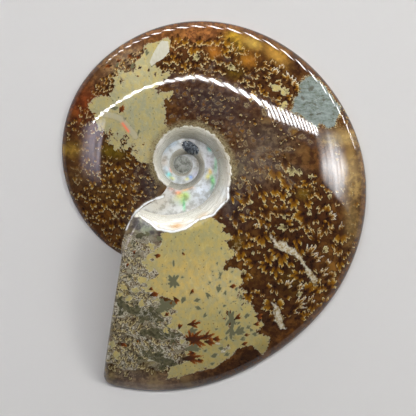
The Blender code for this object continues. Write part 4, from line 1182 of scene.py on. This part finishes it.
def lace(s, q, seed, size):
    """A crowded net of suture frills: distance to the nearest line of it, and a random number for each mesh."""
    k = 1.0 / size
    place = s.vmath("ADD", s.vmath("MULTIPLY", q, (k * 0.8, k * 1.2, 0.0)), (seed * 1.3, seed * 2.1, 0.0))
    line = s.cells(place, 1.0, "DISTANCE_TO_EDGE")
    tone, _, _ = s.split(s.cells(place, 1.0, out="Color"))
    return line * size, tone


def shell_material():
    material = bpy.data.materials.new("polished_fossil")
    material.use_nodes = True
    s = Sheet(material)
    bsdf = s.nodes["Principled BSDF"]
    a = s.attribute
    chart = a("chart", "Vector")
    mm = s.place_mm()
    mm = s.vmath("MULTIPLY", mm, (1.0, 1.0, 0.0))

    wander = s.vmath("SUBTRACT", s.noise(chart, 0.16, 2.0, 0.5, colour=True), (0.5, 0.5, 0.5))
    q = s.vmath("ADD", chart, s.vmath("MULTIPLY", wander, (5.0, 5.0, 0.0)))
    small = s.vmath("SUBTRACT", s.noise(mm, 0.9, 2.0, 0.6, colour=True), (0.5, 0.5, 0.5))
    q = s.vmath("ADD", q, s.vmath("MULTIPLY", small, (0.9, 0.9, 0.0)))
    patchy = s.noise(mm, 0.20, 3.0, 0.6)
    fine = s.noise(mm, 1.6, 3.0, 0.6)
    grain = s.noise(mm, 4.0, 2.0, 0.6)

    # clear stone between the stems, a little cloudy, with the faint veil of deeper sutures; its ground colour holds the
    # painted sheen and highlight patches too
    ground = a("ground", "Color")
    blot = s.noise(mm, 0.42, 4.0, 0.62)
    mottle = s.mix(s.vmath("MULTIPLY", ground, (0.46, 0.42, 0.44)), s.vmath("MULTIPLY", ground, (1.34, 1.30, 1.05)),
                   s.step(blot, 0.40, 0.66))
    mottle = s.mix(mottle, s.vmath("MULTIPLY", ground, (0.50, 0.44, 0.44)), s.step(fine, 0.44, 0.32) * 0.5)
    depth = s.noise(s.vmath("ADD", mm, (31.0, 7.0, 0.0)), 0.13, 3.0, 0.55)
    mottle = s.mix(mottle, s.vmath("MULTIPLY", ground, (1.75, 1.85, 1.25)), s.step(depth, 0.54, 0.68) * 0.6)
    mottle = s.mix(mottle, s.vmath("MULTIPLY", ground, (0.52, 0.46, 0.46)), s.step(depth, 0.46, 0.34) * 0.7)
    veil = frills(s, q, 1.0, 6.0, 1.0, (1.2, 1.2, 1.0), (5.0, 2.2, 1.0))
    stone = s.mix(mottle, STEM, s.step(veil, 0.0, 0.25) * s.step(veil, 1.0, 0.5) * 0.22)
    stone = s.mix(stone, s.vmath("MULTIPLY", ground, (1.6, 1.5, 1.3)), s.step(veil, 0.10, 0.02) * s.step(fine, 0.48, 0.58) * 0.4)
    stone = s.mix(stone, STEM, a("body") * 0.52)

    # the crowded last sutures: fine lace of cream and grey round olive and brown meshes
    scallop = (0.5 - s.cells(q, 0.62)) * 1.3 + (fine - 0.5) * 0.5
    line1, tone1 = lace(s, q, 2.0, 1.7)
    line2, tone2 = lace(s, s.vmath("ADD", q, s.vmath("MULTIPLY", small, (1.2, 1.2, 0.0))), 6.0, 0.95)
    meshes = s.ramp(tone2, ((0.10, srgb(100, 94, 78)), (0.40, srgb(134, 128, 104)), (0.62, srgb(166, 160, 136)),
                            (0.84, srgb(98, 75, 51)), (0.97, srgb(150, 138, 100))))
    meshes = s.mix(meshes, s.vmath("MULTIPLY", ground, (0.9, 0.9, 0.9)), 0.4)
    threads = s.mix(srgb(168, 162, 142), srgb(210, 204, 184), tone1)
    tangle = s.mix(meshes, threads, s.step(line2, 0.18, 0.05) * s.step(tone1, 0.10, 0.45) * 0.75)
    tangle = s.mix(tangle, srgb(62, 50, 34), s.step(line1, 0.18, 0.05) * s.step(fine, 0.42, 0.52) * 0.42)
    tangle = s.mix(tangle, ground, s.step(patchy, 0.54, 0.66) * 0.45)
    crowd = s.step(a("crowded") + scallop * 1.8, -0.4, 0.5) * s.step(a("clear"), 0.05, 0.5)
    stone = s.mix(stone, tangle, crowd)

    # the leaves: stems that melt into the stone, amber tips, pale rims
    leaf = a("leaf") + (s.noise(mm, 1.9, 2.0, 0.6) - 0.5) * 0.6
    heat = (a("warmth") * 1.08 + (fine - 0.5) * 0.3).clamp()
    rim = a("rim")
    tip = s.step(rim, 0.1, 0.8)
    fill = s.ramp(heat, AMBER)
    fill = s.mix(fill, s.mix(srgb(118, 108, 68), srgb(166, 156, 108), fine), s.step(a("khaki"), 0.0, 1.0))
    fill = s.mix(fill, s.mix(srgb(92, 80, 50), srgb(128, 106, 62), blot), s.step(a("khaki"), 1.1, 1.9))
    shade = s.step(leaf, -0.62, -0.16) * s.step(leaf, -0.04, -0.16)
    inside = s.mix(stone, STEM, shade * tip * 0.6)
    inside = s.mix(inside, srgb(40, 21, 11), s.step(leaf, -0.22, 0.06) * s.step(heat, 0.66, 0.16) * 0.80)
    inside = s.mix(inside, fill, s.step(leaf, -0.07, 0.09) * s.step(heat, 0.18, 0.72))
    edge = s.step(leaf, -0.17, -0.03) * s.step(leaf, 0.16, 0.02)
    pale = s.mix(CREAM, WHITE, s.step(rim, 1.0, 1.3) * 0.8)
    inside = s.mix(inside, pale, edge * tip * s.step(fine, 0.34, 0.54) * 0.66)

    # ringed dots round the eye
    for seed, cell, size in ((3.0, 3.6, 0.52), (9.0, 4.8, 0.72), (15.0, 6.4, 0.86)):
        dot, lean = ring_dots(s, q, cell, size, seed, a("dotted") * 0.85)
        dot = dot + (fine - 0.5) * 1.1
        inside = s.mix(inside, s.mix(STEM, srgb(96, 84, 84), 0.35), s.step(dot, -1.3, -0.1) * 0.5)
        inside = s.mix(inside, s.mix(s.ramp(dot, AMBER[:-1]), srgb(96, 78, 52), lean), s.step(dot, -0.12, 0.10) * 0.8)
        band = s.step(dot, -0.22, 0.0) * s.step(dot, 0.42, 0.12)
        inside = s.mix(inside, s.mix(srgb(140, 122, 100), CREAM, lean), band * s.step(grain, 0.36, 0.5) * 0.26)
    clear = s.step(a("clear") + (patchy - 0.5) * 0.4, 0.0, 1.0)
    base = s.mix(s.mix(mottle, ground, 0.5), inside, clear)

    chamber = a("chambers") + (s.noise(mm, 0.55, 3.0, 0.6) - 0.5) * 3.0 + (fine - 0.5) * 0.9 + scallop * 0.3
    base = s.mix(base, srgb(186, 180, 150), s.step(chamber, -0.35, -0.15) * s.step(chamber, 0.05, -0.1) * s.step(fine, 0.48, 0.6) * 0.6)
    olive = s.mix(srgb(56, 54, 38), srgb(94, 90, 64), s.step(s.noise(mm, 0.6, 4.0, 0.65), 0.34, 0.64))
    olive = s.mix(olive, threads, s.step(line2, 0.14, 0.05) * s.step(tone1, 0.55, 0.9) * s.step(patchy, 0.56, 0.44) * 0.35)
    base = s.mix(base, olive, s.step(chamber, -0.12, 0.14) * 0.93)

    # tan fill, with leafy edges
    tan_reach = a("tan") + scallop * 0.6 + (s.noise(mm, 0.35, 2.0, 0.5) - 0.5) * 1.4
    tan_mask = s.step(tan_reach, -0.10, 0.10)
    tone = a("tan_tone", "Color")
    film = s.noise(s.vmath("MULTIPLY", mm, (1.0, 0.72, 0.0)), 0.42, 4.0, 0.62)
    tan = s.mix(s.vmath("MULTIPLY", tone, (1.24, 1.10, 0.84)), s.vmath("MULTIPLY", tone, (0.98, 1.00, 1.08)), s.step(film, 0.40, 0.60))
    strokes = s.noise(s.vmath("MULTIPLY", q, (0.9, 0.35, 0.0)), 1.0, 4.0, 0.7)
    tan = s.mix(tan, s.vmath("MULTIPLY", tone, (1.50, 1.46, 1.40)), s.step(strokes, 0.52, 0.68) * 0.5)
    tan = s.mix(tan, s.vmath("MULTIPLY", tone, (0.74, 0.70, 0.58)), s.step(strokes, 0.44, 0.32) * 0.6)
    tan = s.mix(tan, s.vmath("MULTIPLY", tone, (1.22, 1.20, 1.16)), s.step(grain, 0.52, 0.70) * 0.55)
    tan = s.mix(tan, s.vmath("MULTIPLY", tone, (0.70, 0.68, 0.60)), s.step(s.noise(mm, 1.3, 4.0, 0.7), 0.40, 0.30) * 0.7)
    base = s.mix(base, srgb(206, 198, 160), s.step(tan_reach, -0.34, -0.12) * s.step(fine, 0.40, 0.55) * 0.55)
    spot = s.vmath("ADD", mm, s.vmath("MULTIPLY", small, (0.8, 0.8, 0.0)))
    some, _, _ = s.split(s.cells(spot, 0.55, out="Color"))
    speck_field = s.step(s.cells(spot, 0.55) + (fine - 0.5) * 0.5, 0.17, 0.06) * s.step(some, 0.62, 0.68)
    tan = s.mix(tan, s.mix(srgb(88, 72, 46), srgb(112, 116, 92), s.step(some, 0.78, 0.86)), speck_field * 0.7)
    base = s.mix(base, tan, tan_mask)
    green = a("green") + (fine - 0.5) * 0.45
    base = s.mix(base, srgb(150, 148, 116), s.step(green, -0.45, -0.1) * tan_mask * 0.55)
    base = s.mix(base, s.mix(srgb(88, 88, 64), srgb(112, 110, 84), grain), s.step(green, -0.10, 0.12))
    rust = a("rust") + (fine - 0.5) * 0.5
    base = s.mix(base, s.ramp(a("rust_heat"), ((0.0, srgb(52, 38, 26)), (0.35, srgb(74, 38, 22)), (0.7, srgb(118, 60, 24)),
                                               (1.0, srgb(164, 108, 44)))), s.step(rust, -0.10, 0.12))

    # healed cracks, crust and scar
    ragged = (s.noise(mm, 1.1, 3.0, 0.65) - 0.5) * 2.6 + scallop * 0.5
    torn = (s.noise(mm, 0.34, 2.0, 0.5) - 0.5) * 3.0 + ragged * 0.7 - 0.35
    vein_tone = s.ramp(s.noise(mm, 0.8, 4.0, 0.7), ((0.30, srgb(110, 92, 62)), (0.42, srgb(160, 140, 98)),
                                                    (0.52, srgb(190, 180, 154)), (0.66, srgb(206, 204, 192)),
                                                    (0.78, srgb(180, 146, 92))))
    base = s.mix(base, STEM, s.step(a("veins") + torn, -1.3, -0.1) * 0.6)
    base = s.mix(base, vein_tone, s.step(a("veins") + torn, -0.25, 0.55) * 0.90)
    crust_reach = a("crust") + (s.noise(mm, 0.36, 3.0, 0.6) - 0.5) * 3.6 + ragged * 0.8 - 0.3
    crust = s.ramp(s.noise(s.vmath("MULTIPLY", mm, (0.8, 1.5, 0.0)), 0.40, 5.0, 0.70),
                   ((0.32, srgb(82, 86, 74)), (0.42, srgb(110, 118, 110)), (0.54, srgb(125, 135, 130)), (0.70, srgb(148, 156, 151))))
    seams = s.noise(s.vmath("MULTIPLY", mm, (0.5, 1.6, 0.0)), 0.5, 3.0, 0.6)
    crust = s.mix(crust, srgb(72, 68, 52), s.step((seams - 0.5).abs(), 0.030, 0.004) * s.step(patchy, 0.56, 0.46) * 0.75)
    crust = s.mix(crust, srgb(84, 78, 60), s.step(s.noise(mm, 1.1, 4.0, 0.7), 0.40, 0.30) * 0.6)
    base = s.mix(base, srgb(196, 186, 140), s.step(crust_reach, -1.2, -0.1) * s.step(fine, 0.46, 0.56) * 0.6)
    base = s.mix(base, crust, s.step(crust_reach, -0.15, 0.25))
    base = s.mix(base, srgb(78, 74, 60), s.step(a("crust_pits") + ragged * 0.6, -0.05, 0.35) * 0.7)
    scar = s.mix(srgb(174, 168, 144), srgb(204, 202, 188), s.noise(s.vmath("MULTIPLY", mm, (1.0, 0.5, 0.0)), 0.9, 3.0))
    base = s.mix(base, scar, s.step(a("scar") + (fine - 0.5) * 0.7, -0.1, 0.15))
    band = a("crack_band") + (fine - 0.5) * 1.2
    base = s.mix(base, srgb(178, 170, 146), s.step(band, -0.4, 0.6) * 0.6)
    base = s.mix(base, srgb(128, 120, 92), s.step(band, -0.35, 0.0) * s.step(band, 0.25, 0.0) * s.step(fine, 0.44, 0.56) * 0.6)
    base = s.mix(base, srgb(204, 142, 108), s.step(a("flash"), -0.6, 0.6) * 0.7)
    base = s.mix(base, srgb(252, 106, 72), s.step(a("flash") + (grain - 0.5) * 0.8, 0.30, 0.75) * 0.75)

    # the eye: fibrous wall, pearly floor, glassy core
    fibre = s.noise(s.vmath("MULTIPLY", q, (0.10, 1.3, 0.0)), 1.0, 4.0, 0.7)
    halo = s.step(a("wall") + (patchy - 0.5) * 5.0, -3.8, -0.6) * s.step(a("halo"), 0.2, 0.8)
    flecks = s.ramp(s.noise(s.vmath("MULTIPLY", q, (0.4, 1.0, 0.0)), 1.1, 4.0, 0.7),
                    ((0.34, srgb(58, 42, 26)), (0.44, srgb(112, 98, 66)), (0.54, srgb(152, 142, 108)), (0.66, srgb(118, 92, 56)),
                     (0.76, srgb(180, 174, 150))))
    base = s.mix(base, flecks, halo * s.step(fine, 0.30, 0.46) * 0.85)
    early = s.step(a("early"), -0.4, 0.6)
    reach = a("eye") + (s.noise(mm, 0.55, 3.0, 0.6) - 0.5) * (a("halo") * 2.4 + 0.5) + 0.1
    on_wall = s.step(reach, -0.25, 0.35)
    wall_tone = a("wall_tone", "Color")
    wall = s.mix(s.vmath("MULTIPLY", wall_tone, (0.62, 0.60, 0.55)), s.vmath("MULTIPLY", wall_tone, (1.12, 1.12, 1.12)),
                 s.step(fibre, 0.34, 0.58))
    wall = s.mix(wall, s.vmath("MULTIPLY", wall_tone, (0.75, 0.68, 0.52)), s.step(s.noise(mm, 0.6, 4.0, 0.65), 0.56, 0.68) * 0.7)
    base = s.mix(base, wall, on_wall)
    pearl = a("pearl", "Color")
    cloud = s.noise(mm, 0.38, 3.0, 0.55)
    pearl = s.mix(s.vmath("MULTIPLY", pearl, (0.70, 0.69, 0.66)), s.vmath("MULTIPLY", pearl, (1.10, 1.10, 1.12)), s.step(cloud, 0.36, 0.56))
    speck = s.noise(mm, 2.2, 3.0, 0.65)
    pearl = s.mix(pearl, s.vmath("MULTIPLY", pearl, (0.66, 0.62, 0.54)), s.step(speck, 0.44, 0.34) * 0.6)
    pearl = s.mix(pearl, srgb(232, 238, 244), s.step(speck, 0.62, 0.74) * 0.45)
    inner_wall = s.step(a("wall") + (fine - 0.5) * 0.5, -0.12, 0.12)
    pearl = s.mix(pearl, s.mix(srgb(126, 120, 102), srgb(176, 172, 156), s.step(fibre, 0.35, 0.6)), inner_wall * 0.85)
    glass = s.mix(srgb(98, 100, 90), srgb(148, 150, 142), s.step(cloud + (fine - 0.5) * 0.3, 0.38, 0.58))
    pearl = s.mix(pearl, glass, s.step(a("core") + (fine - 0.5) * 0.8, -0.2, 0.3))
    # painted highlight: a pale ring round the rim of the glassy core
    pearl = s.mix(pearl, srgb(206, 208, 204), s.step((a("core") + (fine - 0.5) * 0.5).abs(), 0.34, 0.10) * s.step(speck, 0.40, 0.52) * 0.7)
    base = s.mix(base, pearl, early)
    edge_and_highlight_line = a("white_edge_and_highlight") + (s.noise(mm, 0.5, 2.0, 0.5) - 0.5) * 1.1
    # a painted shadow: a darker band along the white edges
    base = s.mix(base, srgb(150, 142, 122), s.step(edge_and_highlight_line, -1.0, -0.45) * 0.5)
    # the white edges: bare shell edge and its painted highlight in one bright line
    base = s.mix(base, srgb(236, 238, 238), s.step(edge_and_highlight_line, -0.52, -0.22) * s.step(speck, 0.24, 0.40))
    druse = s.cells(s.vmath("ADD", mm, s.vmath("MULTIPLY", small, (1.0, 1.0, 0.0))), 1.9, out="Color")
    glint, _, _ = s.split(druse)
    pit = a("pit") + (fine - 0.5) * 0.5
    base = s.mix(base, srgb(150, 148, 140), s.step(pit, -0.5, -0.1) * 0.6)
    # the dark crystals of the pit; its brightest cells are painted glints
    base = s.mix(base, s.ramp(glint, ((0.15, srgb(34, 38, 44)), (0.68, srgb(76, 84, 92)), (0.93, srgb(116, 124, 130)),
                                      (0.985, srgb(210, 212, 202)))), s.step(pit, -0.1, 0.15))
    eye = s.math("MAXIMUM", on_wall, early)
    relief = s.bump((fibre * 0.6 + cloud * 0.5 + speck * 0.25) * eye + glint * s.step(pit, -0.1, 0.15) * 0.2, 0.0005, 0.6)
    s.put(relief, bsdf.inputs["Normal"])

    s.put(base, bsdf.inputs["Base Color"])
    s.put(s.step(eye * s.step(fibre, 0.6, 0.3), 0.0, 1.0, 0.05, 0.34), bsdf.inputs["Roughness"])
    bsdf.inputs["IOR"].default_value = 1.47
    return material




def mouth_material():
    """The blunt end of the last whorl: stone that filled the living chamber, ground flat but not polished."""
    material = bpy.data.materials.new("mouth_stone")
    material.use_nodes = True
    s = Sheet(material)
    bsdf = s.nodes["Principled BSDF"]
    mm = s.place_mm()
    cloud = s.noise(mm, 0.16, 4.0, 0.6)
    fine = s.noise(mm, 1.4, 4.0, 0.65)
    grain = s.noise(mm, 4.5, 2.0, 0.6)
    stone = s.ramp(cloud, ((0.30, srgb(84, 70, 46)), (0.44, srgb(118, 102, 68)), (0.54, srgb(142, 128, 92)),
                           (0.66, srgb(104, 84, 56)), (0.78, srgb(156, 146, 116))))
    stone = s.mix(stone, srgb(62, 48, 32), s.step(fine, 0.44, 0.34) * 0.7)
    stone = s.mix(stone, srgb(176, 166, 134), s.step(grain, 0.56, 0.70) * 0.6)
    _, _, z = s.split(mm)
    beds = s.noise(s.vmath("MULTIPLY", mm, (0.25, 0.25, 1.6)), 0.5, 3.0, 0.6)
    stone = s.mix(stone, srgb(86, 58, 30), s.step((beds - 0.5).abs(), 0.02, 0.004) * 0.6)
    some, _, _ = s.split(s.cells(mm, 0.5, out="Color"))
    stone = s.mix(stone, srgb(196, 190, 166), s.step(s.cells(mm, 0.5), 0.22, 0.12) * s.step(some, 0.72, 0.78) * 0.7)
    s.put(stone, bsdf.inputs["Base Color"])
    s.put(s.bump(fine * 0.7 + grain * 0.3, 0.0003, 0.5), bsdf.inputs["Normal"])
    s.put(s.step(grain, 0.35, 0.65, 0.42, 0.58), bsdf.inputs["Roughness"])
    bsdf.inputs["IOR"].default_value = 1.47
    return material


def cut_material():
    """The saw cut along the middle: whorl walls winding to the centre, curved septa, chambers of banded calcite and,
    nearest the mouth, the plain stone of the living chamber."""
    material = bpy.data.materials.new("saw_cut")
    material.use_nodes = True
    s = Sheet(material)
    bsdf = s.nodes["Principled BSDF"]
    mm = s.place_mm()
    mm = s.vmath("MULTIPLY", mm, (1.0, 1.0, 0.0))
    bend = s.vmath("SUBTRACT", s.noise(mm, 0.12, 2.0, 0.5, colour=True), (0.5, 0.5, 0.5))
    x, y, _ = s.split(s.vmath("ADD", mm, s.vmath("MULTIPLY", bend, (2.0, 2.0, 0.0))))
    x0, y0, _ = s.split(mm)
    fine = s.noise(mm, 1.3, 4.0, 0.6)
    grain = s.noise(mm, 4.0, 2.0, 0.6)
    cloud = s.noise(mm, 0.30, 4.0, 0.6)
    radius = s.vmath("LENGTH", mm, out=1)
    turn = ((math.radians(MOUTH_ANGLE) - s.math("ARCTAN2", y0, x0)) * (0.5 / math.pi)).fract()
    swell = s.math("COSINE", (turn - 0.875) * (2 * math.pi)) * 0.030 + 0.990
    level = s.math("LOGARITHM", radius / (swell * KEEL[0][1]), KEEL_GROWTH) - turn
    whorl = level.floor()
    across = level.fract()
    growth = whorl + turn
    bulge = across * (1.0 - across)
    phase = growth * 15.0 + bulge * 3.2 + (s.noise(s.join(x, y, 0.0), 0.3, 2.0) - 0.5) * 0.5
    number = phase.floor()
    along_it = phase.fract()
    one = s.noise(s.join(number * 3.71, 4.2, 0.0), 1.0, 0.0)
    two = s.noise(s.join(number * 2.37, 9.6, 0.0), 1.0, 0.0)
    border = s.math("MINIMUM", s.math("MINIMUM", across * 4.2, (1.0 - across) * 4.2),
                    s.math("MINIMUM", along_it, 1.0 - along_it)) + (fine - 0.5) * 0.05 * s.step(across * (1.0 - across), 0.0, 0.1)
    bands = s.ramp(border, ((0.00, srgb(222, 212, 184)), (0.030, srgb(200, 184, 148)), (0.055, srgb(104, 66, 38)),
                            (0.14, srgb(126, 78, 34)), (0.24, srgb(168, 116, 52)), (0.38, srgb(188, 146, 84)),
                            (0.5, srgb(150, 96, 44))))
    honey = s.mix(srgb(196, 168, 116), srgb(96, 58, 28), s.step(one, 0.36, 0.64))
    fill = s.mix(honey, srgb(204, 204, 192), s.step(two, 0.56, 0.66) * 0.8)
    fill = s.mix(fill, s.vmath("MULTIPLY", fill, (0.55, 0.48, 0.40)), s.step(cloud, 0.52, 0.40) * 0.7)
    chamber = s.mix(bands, fill, s.step(border, 0.09, 0.30) * 0.75)
    void = s.step(border + (cloud - 0.5) * 0.4, 0.38, 0.44) * s.step(two, 0.44, 0.38)
    chamber = s.mix(chamber, srgb(40, 32, 26), void * 0.8)
    body = s.ramp(cloud, ((0.30, srgb(108, 94, 68)), (0.46, srgb(140, 124, 92)), (0.60, srgb(158, 146, 116)),
                          (0.74, srgb(120, 100, 70))))
    body = s.mix(body, srgb(82, 66, 44), s.step(fine, 0.42, 0.34) * 0.6)
    body = s.mix(body, srgb(186, 178, 152), s.step(grain, 0.58, 0.70) * 0.5)
    living = s.step(phase, -6.02, -5.98)
    chamber = s.mix(chamber, body, living)
    wall = s.step(s.math("MINIMUM", across, 1.0 - across) + (fine - 0.5) * 0.006, 0.022, 0.014)
    chamber = s.mix(chamber, s.mix(srgb(226, 218, 196), srgb(176, 154, 118), s.step(fine, 0.42, 0.58)), wall)
    middle = s.step(radius + (fine - 0.5) * 1.5, 3.4, 2.6)
    chamber = s.mix(chamber, srgb(120, 84, 48), middle)
    s.put(chamber, bsdf.inputs["Base Color"])
    s.put(s.step(fine, 0.35, 0.65, 0.10, 0.22), bsdf.inputs["Roughness"])
    bsdf.inputs["IOR"].default_value = 1.47
    return material


points, faces, kinds, growths, spans = shell_mesh()
lo, hi = np.array(CAD_BOX[0]) / MM, np.array(CAD_BOX[1]) / MM
fields = paint(points, growths, spans)
points[:, :2] *= 0.9996
points = np.clip(points, lo, hi)
mesh = bpy.data.meshes.new("shell")
mesh.from_pydata((points * MM).tolist(), [], faces)
mesh.flip_normals()
store(mesh, fields)
mesh.shade_smooth()
mesh.set_sharp_from_angle(angle=math.radians(45))
shell = bpy.data.objects.new("ammonite_shell", mesh)
bpy.context.scene.collection.objects.link(shell)
for material in (shell_material(), mouth_material(), cut_material()):
    mesh.materials.append(material)
mesh.polygons.foreach_set("material_index", kinds)


# --- floor, light, camera -----------------------------------------------------------------------------------------
def stage():
    bpy.ops.mesh.primitive_plane_add(size=6.0, location=(0, 0, 0))
    floor = bpy.context.object
    floor.name = "floor"
    m = bpy.data.materials.new("floor")
    m.use_nodes = True
    b = m.node_tree.nodes["Principled BSDF"]
    b.inputs["Base Color"].default_value = (0.62, 0.61, 0.59, 1)
    b.inputs["Roughness"].default_value = 0.85
    floor.data.materials.append(m)

    scene = bpy.context.scene
    scene.view_settings.view_transform = "Standard"
    if scene.world is None:
        scene.world = bpy.data.worlds.new("world")
    scene.world.use_nodes = True
    bg = scene.world.node_tree.nodes["Background"]
    bg.inputs["Color"].default_value = (0.90, 0.94, 1.0, 1)
    bg.inputs["Strength"].default_value = 0.085

    def lamp(name, centre, size, power, turn=0.0, colour=(1, 1, 1), slats=0.0, shade=None):
        """A soft box at centre (metres), facing the stone, its length along X turned by some degrees about Z; slats
        are the dark bars of a grid in front of it, so many to its length; shade gives its brightness across it."""
        data = bpy.data.lights.new(name, "AREA")
        data.shape = "RECTANGLE"
        data.size, data.size_y = size
        data.energy = power
        data.color = colour
        if slats or shade:
            data.use_nodes = True
            s = Sheet(data)
            emission = s.nodes["Emission"]
            node = s.nodes.new("ShaderNodeNewGeometry")
            u, v, _ = s.split(Value(s, node.outputs["Parametric"]))
            level = 1.0
            if slats:
                wave = ((u * slats + v * 0.6) * (2 * math.pi)).sin()
                level = s.step(wave, 0.15, 0.65, 0.015, 2.2)
            if shade:
                level = shade(s, u, v) * level
            s.put(level, emission.inputs["Strength"])
        o = bpy.data.objects.new(name, data)
        scene.collection.objects.link(o)
        o.location = centre
        away = (Vector(centre) - Vector((0.010, -0.012, 0.0))).normalized()
        along_x = Vector((math.cos(math.radians(turn)), math.sin(math.radians(turn)), 0.0))
        side = (along_x - away * along_x.dot(away)).normalized()
        o.rotation_euler = Matrix((side, away.cross(side), away)).transposed().to_euler()
        return o

    def right_shade(s, u, v):
        """A bright patch with a slanting lower edge, fading to the right."""
        edge = s.step(u, 0.05, 0.55, 0.05, 0.88)
        inside = s.step(v - edge, 0.06, -0.05)
        streaks = s.noise(s.join(u * 2.0, v * 14.0, 0.0), 1.0, 3.0, 0.6)
        core = s.step((u - 0.60).abs() + (v - 0.55).abs() * 0.8, 0.42, 0.06)
        return inside * s.step(v, 0.0, 0.5) * s.step(u, 1.0, 0.86) * s.step(streaks, 0.3, 0.65, 0.5, 1.2) * (core * 2.2 + 0.4)

    def left_shade(s, u, v):
        """Sharp on the right, fading to the left and to both ends."""
        streaks = s.noise(s.join(u * 2.0, v * 9.0, 0.0), 1.0, 3.0, 0.6)
        return s.step(v, 1.0, 0.1) * s.step(v, 0.0, 0.05) * s.step(u, 0.0, 0.5) * s.step(u, 1.0, 0.9) * s.step(streaks, 0.3, 0.65, 0.5, 1.3)

    lamp("key_left", (-0.43, 0.385, 1.0), (0.70, 0.024), 3.6, 16.5, slats=12)
    lamp("key_middle", (0.10, 0.475, 1.0), (0.42, 0.024), 2.9, -7.0, slats=6)
    lamp("key_right", (0.53, 0.440, 1.0), (0.46, 0.066), 3.0, 4.5, slats=13)
    lamp("rim_strip", (0.30, 1.0, 0.12), (3.3, 0.17), 26, slats=25)
    lamp("right_window", (0.97, 0.12, 0.80), (0.80, 0.76), 17.0, 90, shade=right_shade)
    lamp("left_window", (-0.72, 0.0, 0.80), (0.50, 0.46), 4.6, 90, (0.88, 0.84, 1.0), shade=left_shade)

    data = bpy.data.cameras.new("camera")
    distance = 0.58
    width = 416 * 0.406 * MM
    data.sensor_width = 36.0
    data.lens = 36.0 * distance / width
    data.clip_start, data.clip_end = 0.01, 10
    camera = bpy.data.objects.new("camera", data)
    camera.location = (10.35 * MM, -17.5 * MM, distance)
    scene.collection.objects.link(camera)
    scene.camera = camera


stage()
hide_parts("ammonite")
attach(shell, "root")
